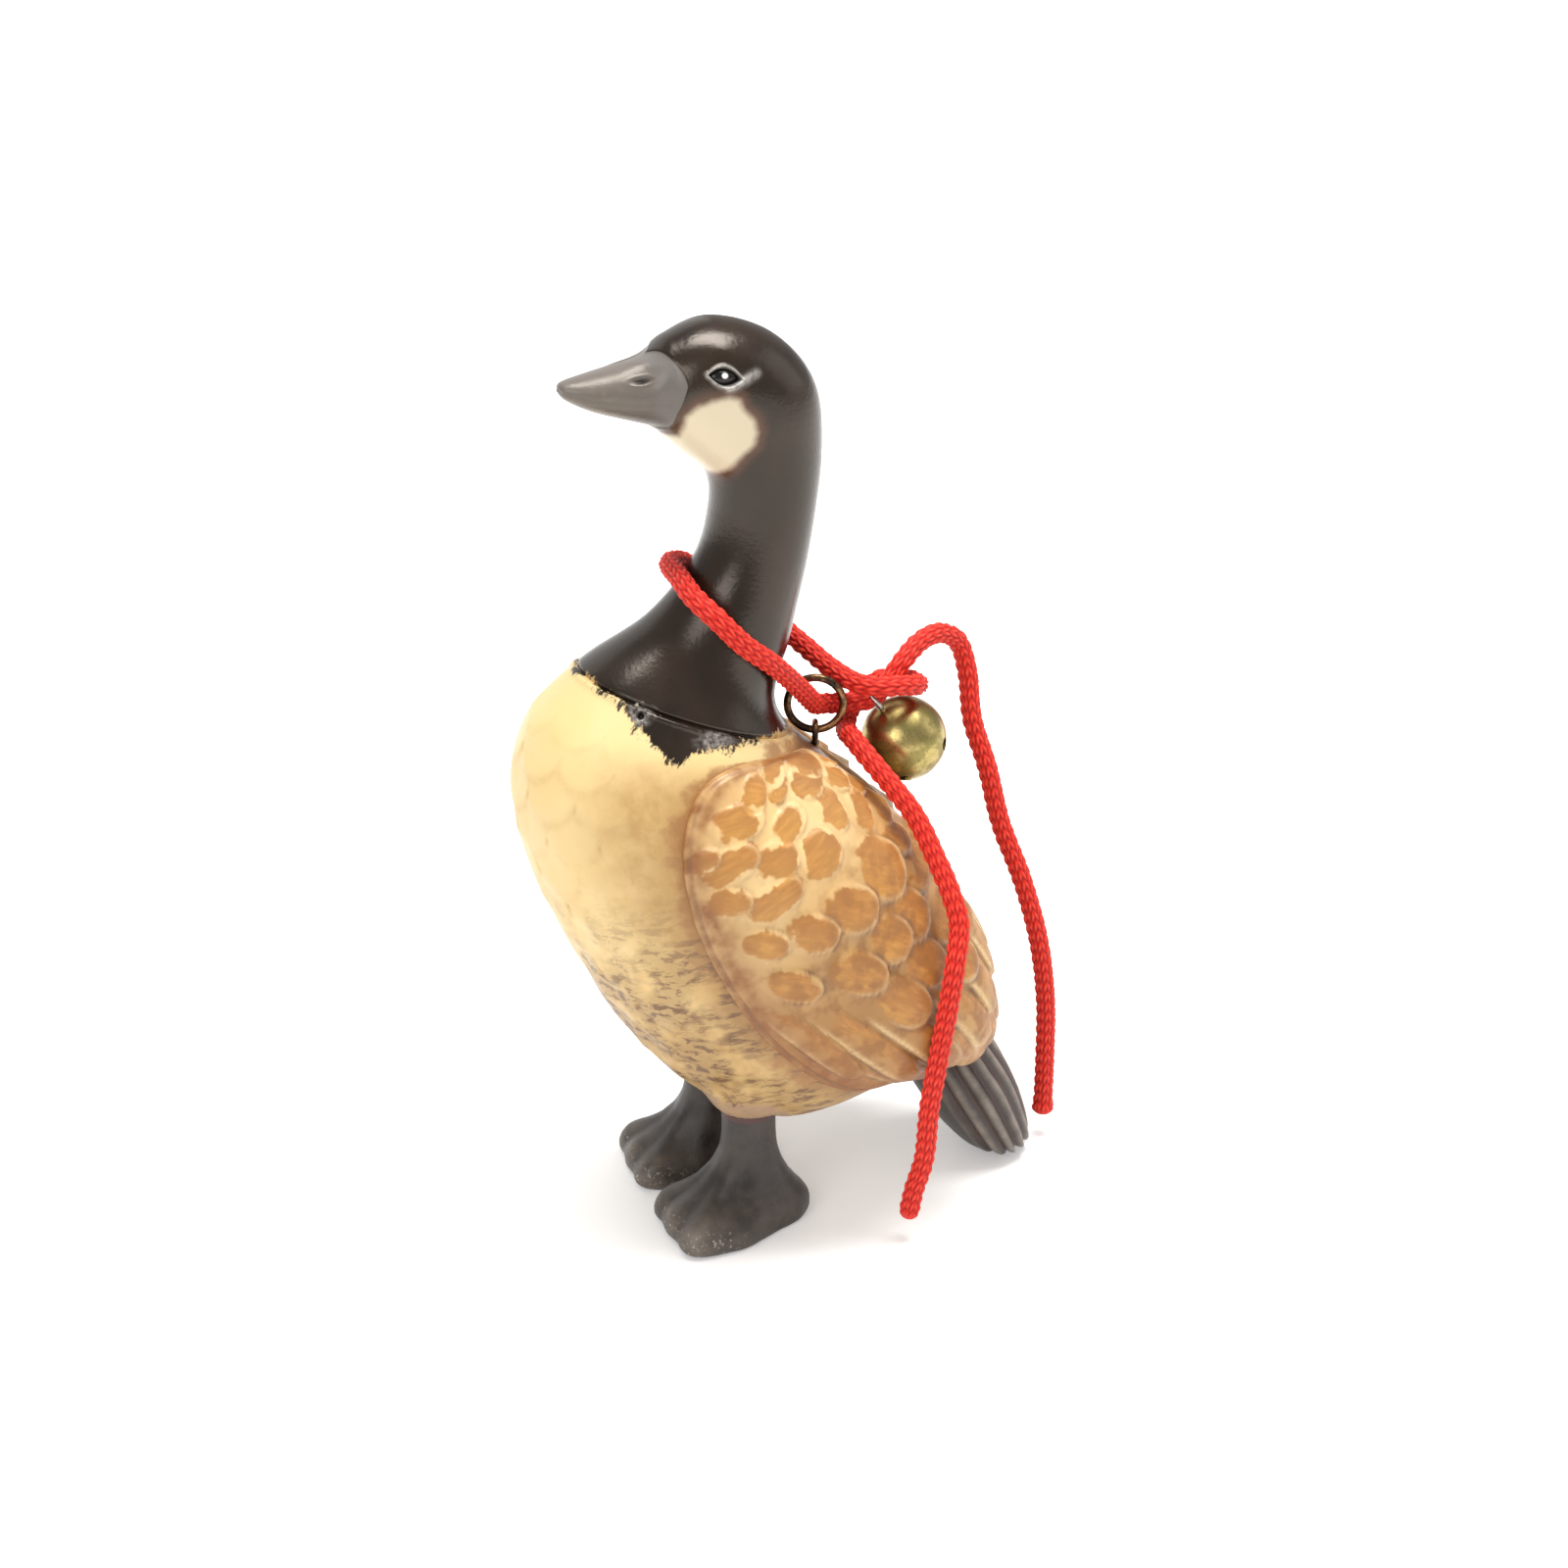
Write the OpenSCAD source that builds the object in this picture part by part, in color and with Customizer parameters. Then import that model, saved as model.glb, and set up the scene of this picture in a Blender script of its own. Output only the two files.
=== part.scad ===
// Standing goose ornament in hand-painted bisque porcelain, with a knitted cord, a hanging ring and a bell.
// The goose faces -Y, its left side is +X and its soles stand on Z = 0. Lengths are in millimetres.

/* [Castings] */
// Wall of the hollow body casting
body_wall = 2.6; // [1.8:0.1:3]
// Wall of the hollow neck and head casting
neck_wall = 2.2; // [1.6:0.1:2.8]
// How far the wings stand proud of the body
wing_lift = 1.3; // [0.8:0.1:1.6]
// Diameter of the vent hole near the neck joint
vent_d = 0.9; // [0.5:0.1:1.2]
// Sideways distance of each leg from the middle
leg_spread = 7; // [6:0.1:8]

/* [Fits] */
// Diameter of the neck's locating spigot
neck_spigot_d = 9.8; // [8:0.1:11]
// Diameter of the spigot on top of each leg
leg_spigot_d = 4; // [3:0.1:4.6]
// Radial gap for cement round each spigot
cement_gap = 0.1; // [0.05:0.05:0.3]

/* [Hanging ring] */
// Outer diameter of the ring
ring_d = 7.3; // [6.6:0.1:7.6]
// Diameter of the ring's wire
ring_wire_d = 0.9; // [0.7:0.1:1]

/* [Bell] */
// Diameter of the bell
bell_d = 10; // [9:0.1:10.2]
// Thickness of the bell's sheet metal
bell_wall = 0.4; // [0.3:0.05:0.6]
// Diameter of the loose pellet in the bell
pellet_d = 3.2; // [2.4:0.1:3.6]
// Diameter of the bell's wire loop
shank_wire_d = 0.6; // [0.5:0.1:0.7]

/* [Cord] */
// Diameter of the knitted cord
cord_d = 2.5; // [2:0.1:2.6]

/* [Hidden] */

cream = "#f4dfa6";
near_black = "#3a3230";
feather_brown = "#c2935f";
tail_grey = "#6b5f5a";
bronze = "#6f5a3c";
brass = "#b39b4e";
steel = "#b9b9b4";
cord_red = "#d8231f";

// The goose is one run of sections from tail end to bill tip. Each row holds the section's lower or front
// point (y, z), its upper or back point (y, z) and its half width.
goose = [
    [22.4, 17.4, 24, 20.4, 4],
    [20.4, 16.6, 23.8, 23.2, 8.4],
    [15, 15.6, 22.8, 29.8, 12.6],
    [6, 14, 20.8, 35.8, 15.5],
    [-5, 12.4, 17.2, 42.2, 17.2],
    [-14.5, 18.8, 12.4, 48.4, 18],
    [-21.9, 29.3, 8.5, 52.3, 18.2],
    [-27.9, 41.8, 6, 54.8, 17.4],
    [-31.4, 53.8, 4, 57, 15.4],
    [-29.8, 64, 2.2, 58.6, 13],
    [-24, 70.2, 0.2, 60.6, 10.4],
    [-15.8, 75.2, -1.6, 65, 7.6],
    [-10.4, 81.3, 0.2, 71.8, 6.6],
    [-8.6, 86.8, 2.4, 80.8, 6],
    [-9, 91.1, 4, 91.8, 6],
    [-12, 94.2, 3.4, 100.4, 6.4],
    [-14.3, 96.4, -1.2, 106.2, 6.4],
    [-14.8, 96.9, -8, 108.6, 5.9],
    [-15.6, 97.3, -13.2, 107.2, 4.7],
    [-17.5, 97.9, -16.3, 105.1, 3.9],
    [-22, 99.4, -21.5, 103.9, 3],
    [-24.8, 100.9, -25, 103.1, 1.6],
    [-25.7, 102, -25.7, 102.2, 0.1]];
neck_joint = 10;   // row where the neck meets the body
head_start = 14;   // row where the neck turns into the head
bill_tip = 22;     // last row

// The tail, in rows of the same form, from its root under the wings to its tip.
tail_rows = [
    [15, 17, 20.6, 23, 5.4],
    [15.8, 12.8, 24.8, 17.8, 7.4],
    [18.4, 7.6, 28.4, 12, 8],
    [21.4, 3.3, 30.6, 6.2, 7.6],
    [23.6, 1.1, 31.4, 2.8, 6.6],
    [26, 0.6, 30.8, 1.3, 4.4],
    [28.3, 0.6, 28.7, 0.7, 0.2]];

// The wing's outline on the goose: section row, then the angles of its lower and its upper edge.
// An angle of 0 is the middle of the back, and 180 is the middle of the belly.
wing_rows = [
    [9.4, 52, 34], [9.25, 74, 24], [8.85, 90, 19], [8.1, 100, 15], [7, 109, 12], [5.6, 113, 10],
    [4, 115, 8], [2.6, 119, 8], [1.3, 122, 9], [0.75, 112, 14], [0.5, 90, 35]];

// The foot's outline round the leg: angle from straight ahead towards the outside, then radius.
sole = [[0, 10.3], [25, 11.4], [50, 9], [80, 6], [115, 5.2], [150, 6.6],
        [180, 7.8], [210, 7], [245, 5], [275, 5.6], [305, 8], [335, 11]];
// The leg's levels: height, how much of the foot's outline is left there, and the leg's own radius.
leg_rows = [[0, 0.9, 3.4], [0.9, 1, 3.4], [2.2, 0.97, 3.4], [3.3, 0.82, 3.5], [4.4, 0.6, 3.6],
            [5.8, 0.36, 3.6], [7.8, 0.14, 3.5], [10, 0.03, 3.3], [12.5, 0, 3.2], [17.5, 0, 3.2]];
leg_y = -7;        // the legs' place along the goose
foot_turn = 6;     // how far each foot points outwards
leg_top = 17.5;    // height of the spigot's end, inside the body

// Joint plane between neck and body, through the ends of its section.
joint_row = goose[neck_joint];
joint_mid = [0, (joint_row[0] + joint_row[2]) / 2, (joint_row[1] + joint_row[3]) / 2];
joint_tilt = atan2(joint_row[3] - joint_row[1], joint_row[2] - joint_row[0]);
spigot_depth = 4.5;
spigot_bore_d = 5.6;

vent_at = [8.4, -19.6, 67.4];    // on the left of the breast, just under the neck joint
vent_turn = [62, 0, 22];
vent_depth = 5;

ring_at = [0, 3.8, 62.3];        // centre of the hanging ring
ring_turn = -20;                 // the ring's plane, turned about the vertical
ring_r = (ring_d - ring_wire_d) / 2;
ring_split = 0.12;
eye_r = 1.2;
eye_wire_d = 0.7;
eye_at = [ring_at[0], ring_at[1], ring_at[2] - ring_r - 0.3];
eye_pocket_r = 1.8;
eye_pocket_z = eye_at[2] - eye_r - eye_wire_d / 2 - 0.1;
eye_shank_d = 1;
eye_shank_depth = 3;

bell_at = [-0.9, 15.2, 56];      // centre of the bell
bell_tilt = 36;                  // the bell's axis leans back from straight down
bell_flat = 0.9;                 // the mouth end is flattened to this part of the radius
slot_w = 0.7;
slot_hole_d = 1.5;
slot_hole_rise = 28;             // the slots end in holes this many degrees below the bell's equator
shank_r = 2;
shank_up = bell_d / 2 + shank_r + 0.05;    // from the bell's centre to the middle of its wire loop
pellet_gap = 0.15;

// Route of the cord from inside the ring, round the neck, round the other end and down the left wing.
round_neck_route = [
    [0.16, 3.65, 62.37], [4, 0.2, 66.4], [7.8, -4.1, 71], [9.1, -7.8, 74.2], [8.8, -10.9, 77.6],
    [6.3, -12.8, 79.6], [2.2, -13, 80.4], [-2.8, -12.5, 80.2], [-6.6, -10, 79], [-8.7, -6, 76.2],
    [-8.9, -2, 73], [-8, 1.3, 70.2], [-5.7, 4.3, 67.5], [-2.6, 6.4, 65.6], [0.5, 8.4, 64.5],
    [2.3, 10.6, 64.3], [2.3, 13.2, 64.1], [1.3, 15.6, 63.4], [-0.6, 16.7, 62.8], [-3.2, 16.1, 62.5],
    [-5, 13.8, 62], [-5.1, 11.2, 60.4], [-3.5, 9.2, 58.9], [-0.6, 7.8, 58.3], [2.8, 7.2, 58.8],
    [6, 8, 57.4], [9, 10, 54.5], [11, 12, 51.3], [13.5, 13.5, 47], [15.5, 14.5, 43.5],
    [17, 15, 40], [18.5, 14, 36], [19, 13, 30.5], [19, 12, 24.5], [19, 11, 18], [19, 10.5, 11.5],
    [18.5, 9.5, 7], [18, 9, 3]];
// Route of the cord from inside the ring, through the bell's loop, up in a bow and down behind the tail.
rear_end_route = [
    [-0.16, 4.02, 62.12], [-1.6, 6.1, 61.4], [-1.5, 8.6, 61.1], [-0.9, 11.1, 61.7], [-1, 13.2, 63.3],
    [-1.6, 15.2, 65.4], [-3, 18, 67], [-4.6, 21.2, 67], [-5.8, 24, 65], [-5.6, 25.2, 61],
    [-4.5, 25.5, 55.5], [-3, 27, 49.5], [-2, 28.5, 42.5], [-0.5, 31, 35], [0.5, 33, 27],
    [1, 34, 19], [1.5, 34, 11], [1.5, 34, 3]];
cord_sides = 8;
cord_d_end = 1.15;               // the melted ends are this many times as thick

// A curve through four points in a row, at t from the second to the third.
function through(a, b, c, d, t) =
    0.5 * (2 * b + (c - a) * t + (2 * a - 5 * b + 4 * c - d) * t * t + (3 * b - a - 3 * c + d) * t * t * t);
// The row of a table at a fractional place.
function row_at(table, u) =
    let (last = len(table) - 1, i = min(floor(u), last - 1), b = table[i], c = table[i + 1],
         a = i > 0 ? table[i - 1] : 2 * b - c, d = i < last - 1 ? table[i + 2] : 2 * c - b)
    through(a, b, c, d, u - i);
// The row of a table of angles and radii that closes on itself.
function ring_row(table, u) =
    let (n = len(table), i = floor(u), turn = [360, 0])
    through(table[(i + n - 1) % n] - (i == 0 ? 1 : 0) * turn, table[i],
            table[(i + 1) % n] + (i >= n - 1 ? 1 : 0) * turn,
            table[(i + 2) % n] + (i >= n - 2 ? 1 : 0) * turn, u - i);
// A section's point at an angle from the back, moved out along the section's own normal.
function on_section(s, angle, out = 0) =
    let (along = [s[2] - s[0], s[3] - s[1]], deep = norm(along), part = (1 + cos(angle)) / 2,
         n = [sin(angle) / s[4], along[0] / deep * cos(angle) * 2 / deep, along[1] / deep * cos(angle) * 2 / deep])
    [s[4] * sin(angle), s[0] + along[0] * part, s[1] + along[1] * part] + n * out / norm(n);
// A section drawn in on all sides by a wall.
function drawn_in(s, wall) =
    let (along = [s[2] - s[0], s[3] - s[1]], step = along / norm(along) * wall)
    [s[0] + step[0], s[1] + step[1], s[2] - step[0], s[3] - step[1], s[4] - wall];

// A closed skin over rings of points. Each end is one flat face, or a strip of triangles where it is bent.
module skin(points, sides, bent_ends = false) {
    rings = len(points) / sides;
    last = (rings - 1) * sides;
    strip = [for (k = [0 : sides / 2 - 2], half = [0, 1])
                half == 0 ? [k, k + 1, sides - 1 - k] : [k + 1, sides - 2 - k, sides - 1 - k]];
    polyhedron(points,
        concat(bent_ends ? strip : [[for (k = [0 : sides - 1]) k]],
               [for (r = [0 : rings - 2], k = [0 : sides - 1], half = [0, 1])
                   let (a = r * sides + k, b = r * sides + (k + 1) % sides)
                   half == 0 ? [a, a + sides, b] : [b, a + sides, b + sides]],
               bent_ends ? [for (f = strip) [last + f[2], last + f[1], last + f[0]]]
                         : [[for (k = [sides - 1 : -1 : 0]) last + k]]));
}

// The loft over a table's rows from one place to another.
module loft(table, from, to, rings, sides, wall = 0) {
    skin([for (r = [0 : rings], k = [0 : sides - 1])
             let (s = row_at(table, from + (to - from) * r / rings))
             on_section(wall > 0 ? drawn_in(s, wall) : s, -360 * k / sides)], sides);
}

module body_solid() {
    loft(goose, 0, neck_joint, 30, 32);
}

module tail_solid() {
    loft(tail_rows, len(tail_rows) - 1, 0, 12, 20);
}

module at_joint() {
    translate(joint_mid) rotate([joint_tilt, 0, 0]) children();
}

module at_leg(side) {
    translate([side * leg_spread, leg_y, 0]) children();
}

module body_casting() {
    cavity_end = neck_joint - 0.6;
    color(cream) difference() {
        body_solid();
        loft(goose, 1.6, cavity_end, 12, 16, body_wall);
        at_joint() translate([0, 0, -spigot_depth - 3])
            cylinder(h = spigot_depth + 4, r = neck_spigot_d / 2 + cement_gap, $fn = 48);
        for (side = [-1, 1])
            at_leg(side) translate([0, 0, 5])
                cylinder(h = leg_top - 4.5, r = leg_spigot_d / 2 + cement_gap, $fn = 32);
        translate(vent_at) rotate(vent_turn)
            cylinder(h = vent_depth * 2, r = vent_d / 2, center = true, $fn = 24);
        translate([eye_at[0], eye_at[1], eye_pocket_z])
            cylinder(h = 5, r = eye_pocket_r, $fn = 32);
        translate([eye_at[0], eye_at[1], eye_pocket_z - eye_shank_depth])
            cylinder(h = 5, r = eye_shank_d / 2 + 0.05, $fn = 24);
    }
}

module neck_and_head() {
    cavity_from = neck_joint + 0.35;
    cavity_to = head_start + 2.6;
    color(near_black) difference() {
        union() {
            loft(goose, neck_joint, bill_tip, 40, 28);
            at_joint() translate([0, 0, -spigot_depth])
                cylinder(h = spigot_depth + 2, r = neck_spigot_d / 2, $fn = 48);
        }
        loft(goose, cavity_from, cavity_to, 12, 12, neck_wall);
        at_joint() translate([0, 0, -spigot_depth - 1])
            cylinder(h = spigot_depth + 5, r = spigot_bore_d / 2, $fn = 32);
    }
}

// One wing as a patch over the goose's side: an outer face, an inner face sunk in the body, and its rim.
module wing_blank(side) {
    rings = 20;
    across = 10;
    rim = 0.35;
    row_points = 2 * across;
    skin([for (r = [0 : rings])
             let (w = row_at(wing_rows, (len(wing_rows) - 1) * (1 - r / rings)), s = row_at(goose, w[0]))
             for (k = [0 : row_points - 1])
                 let (outside = k < across, t = outside ? k / (across - 1) : (row_points - 1 - k) / (across - 1),
                      edge = sqrt(max(0, 1 - pow(2 * t - 1, 8))) * (1 - pow(2 * r / rings - 1, 12)),
                      angle = w[1] + (w[2] - w[1]) * t, sink = min(1.2, 0.3 * s[4]),
                      p = on_section(s, angle, outside ? rim + (wing_lift - rim) * edge : -sink))
                 [side * p[0], p[1], p[2]]], row_points, bent_ends = true);
}

module wing(side) {
    color(feather_brown) difference() {
        if (side > 0) wing_blank(1);
        else mirror([1, 0, 0]) wing_blank(1);
        body_solid();
        tail_solid();
    }
}

module left_wing() {
    wing(1);
}

module right_wing() {
    wing(-1);
}

module tail() {
    color(tail_grey) difference() {
        tail_solid();
        body_solid();
    }
}

module leg(side) {
    sides = 24;
    rings = 15;
    color(near_black) {
        difference() {
            mirror([side > 0 ? 0 : 1, 0, 0])
                skin([for (r = [0 : rings], k = [0 : sides - 1])
                         let (s = row_at(leg_rows, (len(leg_rows) - 1) * r / rings),
                              o = ring_row(sole, len(sole) * k / sides),
                              reach = s[2] + s[1] * (o[1] - s[2]), a = o[0] + foot_turn)
                         [leg_spread + reach * sin(a), leg_y - reach * cos(a), s[0]]], sides);
            body_solid();
        }
        at_leg(side) translate([0, 0, 10]) cylinder(h = leg_top - 10, r = leg_spigot_d / 2, $fn = 32);
    }
}

module left_leg() {
    leg(1);
}

module right_leg() {
    leg(-1);
}

module wire_ring(radius, wire_d) {
    rotate_extrude($fn = 64) translate([radius, 0]) circle(d = wire_d, $fn = 24);
}

module hanger_eye() {
    color(steel) {
        translate(eye_at) rotate([90, 0, ring_turn]) wire_ring(eye_r, eye_wire_d);
        translate([eye_at[0], eye_at[1], eye_pocket_z - eye_shank_depth + 0.2])
            cylinder(h = eye_shank_depth + 0.3, r = eye_shank_d / 2, $fn = 24);
    }
}

module hanger_ring() {
    color(bronze) difference() {
        translate(ring_at) rotate([0, 90, ring_turn]) wire_ring(ring_r, ring_wire_d);
        translate(ring_at) rotate([-40, 0, ring_turn]) translate([0, 0, ring_r])
            cube([2, ring_split, 2], center = true);
    }
}

// The bell stands mouth down in its own frame, then leans back about X.
module at_bell() {
    translate(bell_at) rotate([bell_tilt, 0, 0]) children();
}

module bell_form(radius, flat) {
    rotate_extrude($fn = 64) intersection() {
        circle(r = radius, $fn = 96);
        translate([0, -flat]) square([radius, radius + flat]);
    }
}

module bell_shell() {
    r = bell_d / 2;
    mid_r = r - bell_wall / 2;
    color(brass) at_bell() difference() {
        bell_form(r, r * bell_flat);
        bell_form(r - bell_wall, r * bell_flat - bell_wall);
        for (turn = [45, 135]) rotate([0, 0, turn]) {
            translate([0, 0, -r])
                cube([2 * mid_r * cos(slot_hole_rise), slot_w, 2 * r - 2 * r * sin(slot_hole_rise)],
                     center = true);
            for (end = [0, 180]) rotate([0, 90 + slot_hole_rise, end])
                cylinder(h = 2 * r, r = slot_hole_d / 2, $fn = 24);
        }
    }
}

module bell_shank() {
    color(steel) at_bell() difference() {
        translate([0, 0, shank_up]) rotate([90, 0, 0]) wire_ring(shank_r, shank_wire_d);
        sphere(d = bell_d, $fn = 96);
    }
}

module bell_pellet() {
    floor_z = -bell_d / 2 * bell_flat + bell_wall;
    color(steel) at_bell() translate([0, 0, floor_z + pellet_gap + pellet_d / 2]) sphere(d = pellet_d, $fn = 48);
}

// A direction turned just enough to stand square to a new way.
function carried(up, w) = let (v = up - (up * w) * w) v / norm(v);

// A tube along a route: rings spread evenly along the spline, each square to the way it goes and carried
// on from the ring before without a twist. The last ring is a little wider, where the end was melted.
module cord(route, rings) {
    last = len(route) - 1;
    at = [for (r = [0 : rings]) row_at(route, last * r / rings)];
    way = [for (r = [0 : rings]) let (w = at[min(r + 1, rings)] - at[max(r - 1, 0)]) w / norm(w)];
    ups = [for (r = 0, up = carried([0, 0, 1], way[0]); r <= rings;
                r = r + 1, up = carried(up, way[min(r, rings)])) up];
    color(cord_red)
        skin([for (r = [0 : rings])
                 let (side = cross(ups[r], way[r]), radius = cord_d / 2 * (r == rings ? cord_d_end : 1))
                 for (k = [0 : cord_sides - 1])
                     at[r] + radius * (side * cos(360 * k / cord_sides) + ups[r] * sin(360 * k / cord_sides))],
             cord_sides);
}

module cord_round_neck() {
    cord(round_neck_route, 52);
}

module cord_rear_end() {
    cord(rear_end_route, 26);
}

body_casting();
neck_and_head();
left_wing();
right_wing();
tail();
left_leg();
right_leg();
hanger_eye();
hanger_ring();
bell_shell();
bell_shank();
bell_pellet();
cord_round_neck();
cord_rear_end();
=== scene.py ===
"""A hand-painted porcelain goose with a red knitted cord, a hanging ring and a jingle bell.

The goose stands on z = 0 and faces -Y, and its left side is +X. Every table below is in
millimetres.
"""

import math

import bpy
import numpy as np
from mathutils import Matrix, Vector


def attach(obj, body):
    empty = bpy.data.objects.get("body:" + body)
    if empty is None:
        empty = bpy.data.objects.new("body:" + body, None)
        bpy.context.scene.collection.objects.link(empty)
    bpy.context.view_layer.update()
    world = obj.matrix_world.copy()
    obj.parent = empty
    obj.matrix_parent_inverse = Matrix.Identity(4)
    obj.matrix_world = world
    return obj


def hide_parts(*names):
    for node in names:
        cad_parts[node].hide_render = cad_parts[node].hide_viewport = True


bl_info = {
    "name": "Porcelain goose ornament",
    "version": (1, 0, 0),
    "blender": (4, 5, 0),
    "location": "View3D > Sidebar > Goose",
    "description": "Builds a goose ornament: painted castings, knitted cords and metal pieces",
    "category": "Object",
}

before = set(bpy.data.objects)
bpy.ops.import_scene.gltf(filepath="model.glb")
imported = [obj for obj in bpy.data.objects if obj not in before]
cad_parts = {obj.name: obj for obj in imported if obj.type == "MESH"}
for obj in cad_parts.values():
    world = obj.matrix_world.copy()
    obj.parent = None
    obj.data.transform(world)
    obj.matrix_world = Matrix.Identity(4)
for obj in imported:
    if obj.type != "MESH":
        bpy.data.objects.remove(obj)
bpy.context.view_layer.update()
MM = 0.001

# The goose from tail to bill tip: lower or front edge y, z, upper or back edge y, z, half width.
GOOSE = np.array([
    [22.4, 17.4, 24, 20.4, 4], [20.4, 16.6, 23.8, 23.2, 8.4], [15, 15.6, 22.8, 29.8, 12.6],
    [6, 14, 20.8, 35.8, 15.5], [-5, 12.4, 17.2, 42.2, 17.2], [-14.5, 18.8, 12.4, 48.4, 18],
    [-21.9, 29.3, 8.5, 52.3, 18.2], [-27.9, 41.8, 6, 54.8, 17.4], [-31.4, 53.8, 4, 57, 15.4],
    [-29.8, 64, 2.2, 58.6, 13], [-24, 70.2, 0.2, 60.6, 10.4], [-15.8, 75.2, -1.6, 65, 7.6],
    [-10.4, 81.3, 0.2, 71.8, 6.6], [-8.6, 86.8, 2.4, 80.8, 6], [-9, 91.1, 4, 91.8, 6],
    [-12, 94.2, 3.4, 100.4, 6.4], [-14.3, 96.4, -1.2, 106.2, 6.4], [-14.8, 96.9, -8, 108.6, 5.9],
    [-15.6, 97.3, -13.2, 107.2, 4.7], [-17.5, 97.9, -16.3, 105.1, 3.9],
    [-22, 99.4, -21.5, 103.9, 3], [-24.8, 100.9, -25, 103.1, 1.6], [-25.7, 102, -25.7, 102.2, 0.1]])
NECK_JOINT = 10.0
BILL_TIP = 22.0
# A distance in mm past every mark's reach, for what isn't near.
FAR = 9.0
TAIL = np.array([
    [15, 17, 20.6, 23, 5.4], [15.8, 12.8, 24.8, 17.8, 7.4], [18.4, 7.6, 28.4, 12, 8],
    [21.4, 3.3, 30.6, 6.2, 7.6], [23.6, 1.1, 31.4, 2.8, 6.6], [26, 0.6, 30.8, 1.3, 4.4],
    [28.3, 0.6, 28.7, 0.7, 0.2]])
# A wing from shoulder to tip: place along the goose, turn of its low edge, turn of its high edge.
WING = np.array([
    [9.4, 52, 34], [9.25, 74, 24], [8.85, 90, 19], [8.1, 100, 15], [7, 109, 12], [5.6, 113, 10],
    [4, 115, 8], [2.6, 119, 8], [1.3, 122, 9], [0.75, 112, 14], [0.5, 90, 35]])
WING_LIFT = 1.3
WING_RIM = 0.35
# The sole's outline round the leg: turn from straight ahead, reach.
SOLE = np.array([
    [0, 10.3], [25, 11.4], [50, 9], [80, 6], [115, 5.2], [150, 6.6], [180, 7.8], [210, 7],
    [245, 5], [275, 5.6], [305, 8], [335, 11]])
# A leg from the floor up: height, how much of the sole's outline it has, radius of its round part.
LEG = np.array([
    [0, 0.9, 3.4], [0.9, 1, 3.4], [2.2, 0.97, 3.4], [3.3, 0.82, 3.5], [4.4, 0.6, 3.6],
    [5.8, 0.36, 3.6], [7.8, 0.14, 3.5], [10, 0.03, 3.3], [12.5, 0, 3.2], [17.5, 0, 3.2]])
LEG_SIDE, LEG_FORE, FOOT_TURN = 7.0, -7.0, 6.0
LEG_RADIUS = 3.2
# Height of a thigh's flat underside, which the leg comes out of.
THIGH_FOOT = 15.7
# The cord's way in two lengths, each from inside the ring to a free end.
ROUND_NECK_ROUTE = np.array([
    [0.16, 3.65, 62.37], [4, 0.2, 66.4], [7.8, -4.1, 71], [9.1, -7.8, 74.2], [8.8, -10.9, 77.6],
    [6.3, -12.8, 79.6], [2.2, -13, 80.4], [-2.8, -12.5, 80.2], [-6.6, -10, 79], [-8.7, -6, 76.2],
    [-8.9, -2, 73], [-8, 1.3, 70.2], [-5.7, 4.3, 67.5], [-2.6, 6.4, 65.6], [0.5, 8.4, 64.5],
    [2.3, 10.6, 64.3], [2.3, 13.2, 64.1], [1.3, 15.6, 63.4], [-0.6, 16.7, 62.8],
    [-3.2, 16.1, 62.5], [-5, 13.8, 62], [-5.1, 11.2, 60.4], [-3.5, 9.2, 58.9], [-0.6, 7.8, 58.3],
    [2.8, 7.2, 58.8], [6, 8, 57.4], [9, 10, 54.5], [11, 12, 51.3], [13.5, 13.5, 47],
    [15.5, 14.5, 43.5], [17, 15, 40], [18.5, 14, 36], [19, 13, 30.5], [19, 12, 24.5],
    [19, 11, 18], [19, 10.5, 11.5], [18.5, 9.5, 7], [18, 9, 3]])
REAR_END_ROUTE = np.array([
    [-0.16, 4.02, 62.12], [-1.6, 6.1, 61.4], [-1.5, 8.6, 61.1], [-0.9, 11.1, 61.7],
    [-1, 13.2, 63.3], [-1.6, 15.2, 65.4], [-3, 18, 67], [-4.6, 21.2, 67], [-5.8, 24, 65],
    [-5.6, 25.2, 61], [-4.5, 25.5, 55.5], [-3, 27, 49.5], [-2, 28.5, 42.5], [-0.5, 31, 35],
    [0.5, 33, 27], [1, 34, 19], [1.5, 34, 11], [1.5, 34, 3]])
CORD_EXIT = (0, 0.0038, 0.0622)

# Where the dark paint of the neck ends: turn from the back, place along the goose.
PAINT_EDGE = np.array([
    [0, 10.25], [26, 10.2], [49, 10.12], [66, 9.94], [79, 9.68], [90, 9.55], [97, 9.4],
    [102, 9.14], [107, 9.2], [112, 9.4], [118, 9.6], [125, 9.68], [134, 9.88], [148, 9.96],
    [159, 9.97], [171, 10.02], [180, 9.9]])
# Where the bill meets the feathers, the same way.
BILL_EDGE = np.array([
    [0, 18.84], [26, 18.44], [55, 18.0], [75, 17.65], [90, 17.41], [103, 17.35], [124, 17.26],
    [140, 17.0], [150, 16.98], [160, 17.5], [180, 18.0]])
# The cheek patch seen from the side, y and z; its front edge lies beyond the throat.
CHEEK = np.array([
    [-15.2, 96.6], [-13.3, 96.9], [-13.0, 99.4], [-11.8, 100.8], [-10.4, 101.3], [-8.4, 101.6],
    [-7.1, 101.2], [-6.7, 100], [-5.5, 98.7], [-5.1, 97.3], [-5.4, 95.7], [-6.5, 94.5],
    [-7.8, 92.7], [-8.9, 91.8], [-10.5, 90.6], [-13.5, 93]])
EYE = np.array([6.05, -8.8, 103.55])
NOSTRIL = np.array([3.3, -17.1, 103.3])
VENT = np.array([8.4, -19.6, 67.4])

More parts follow.
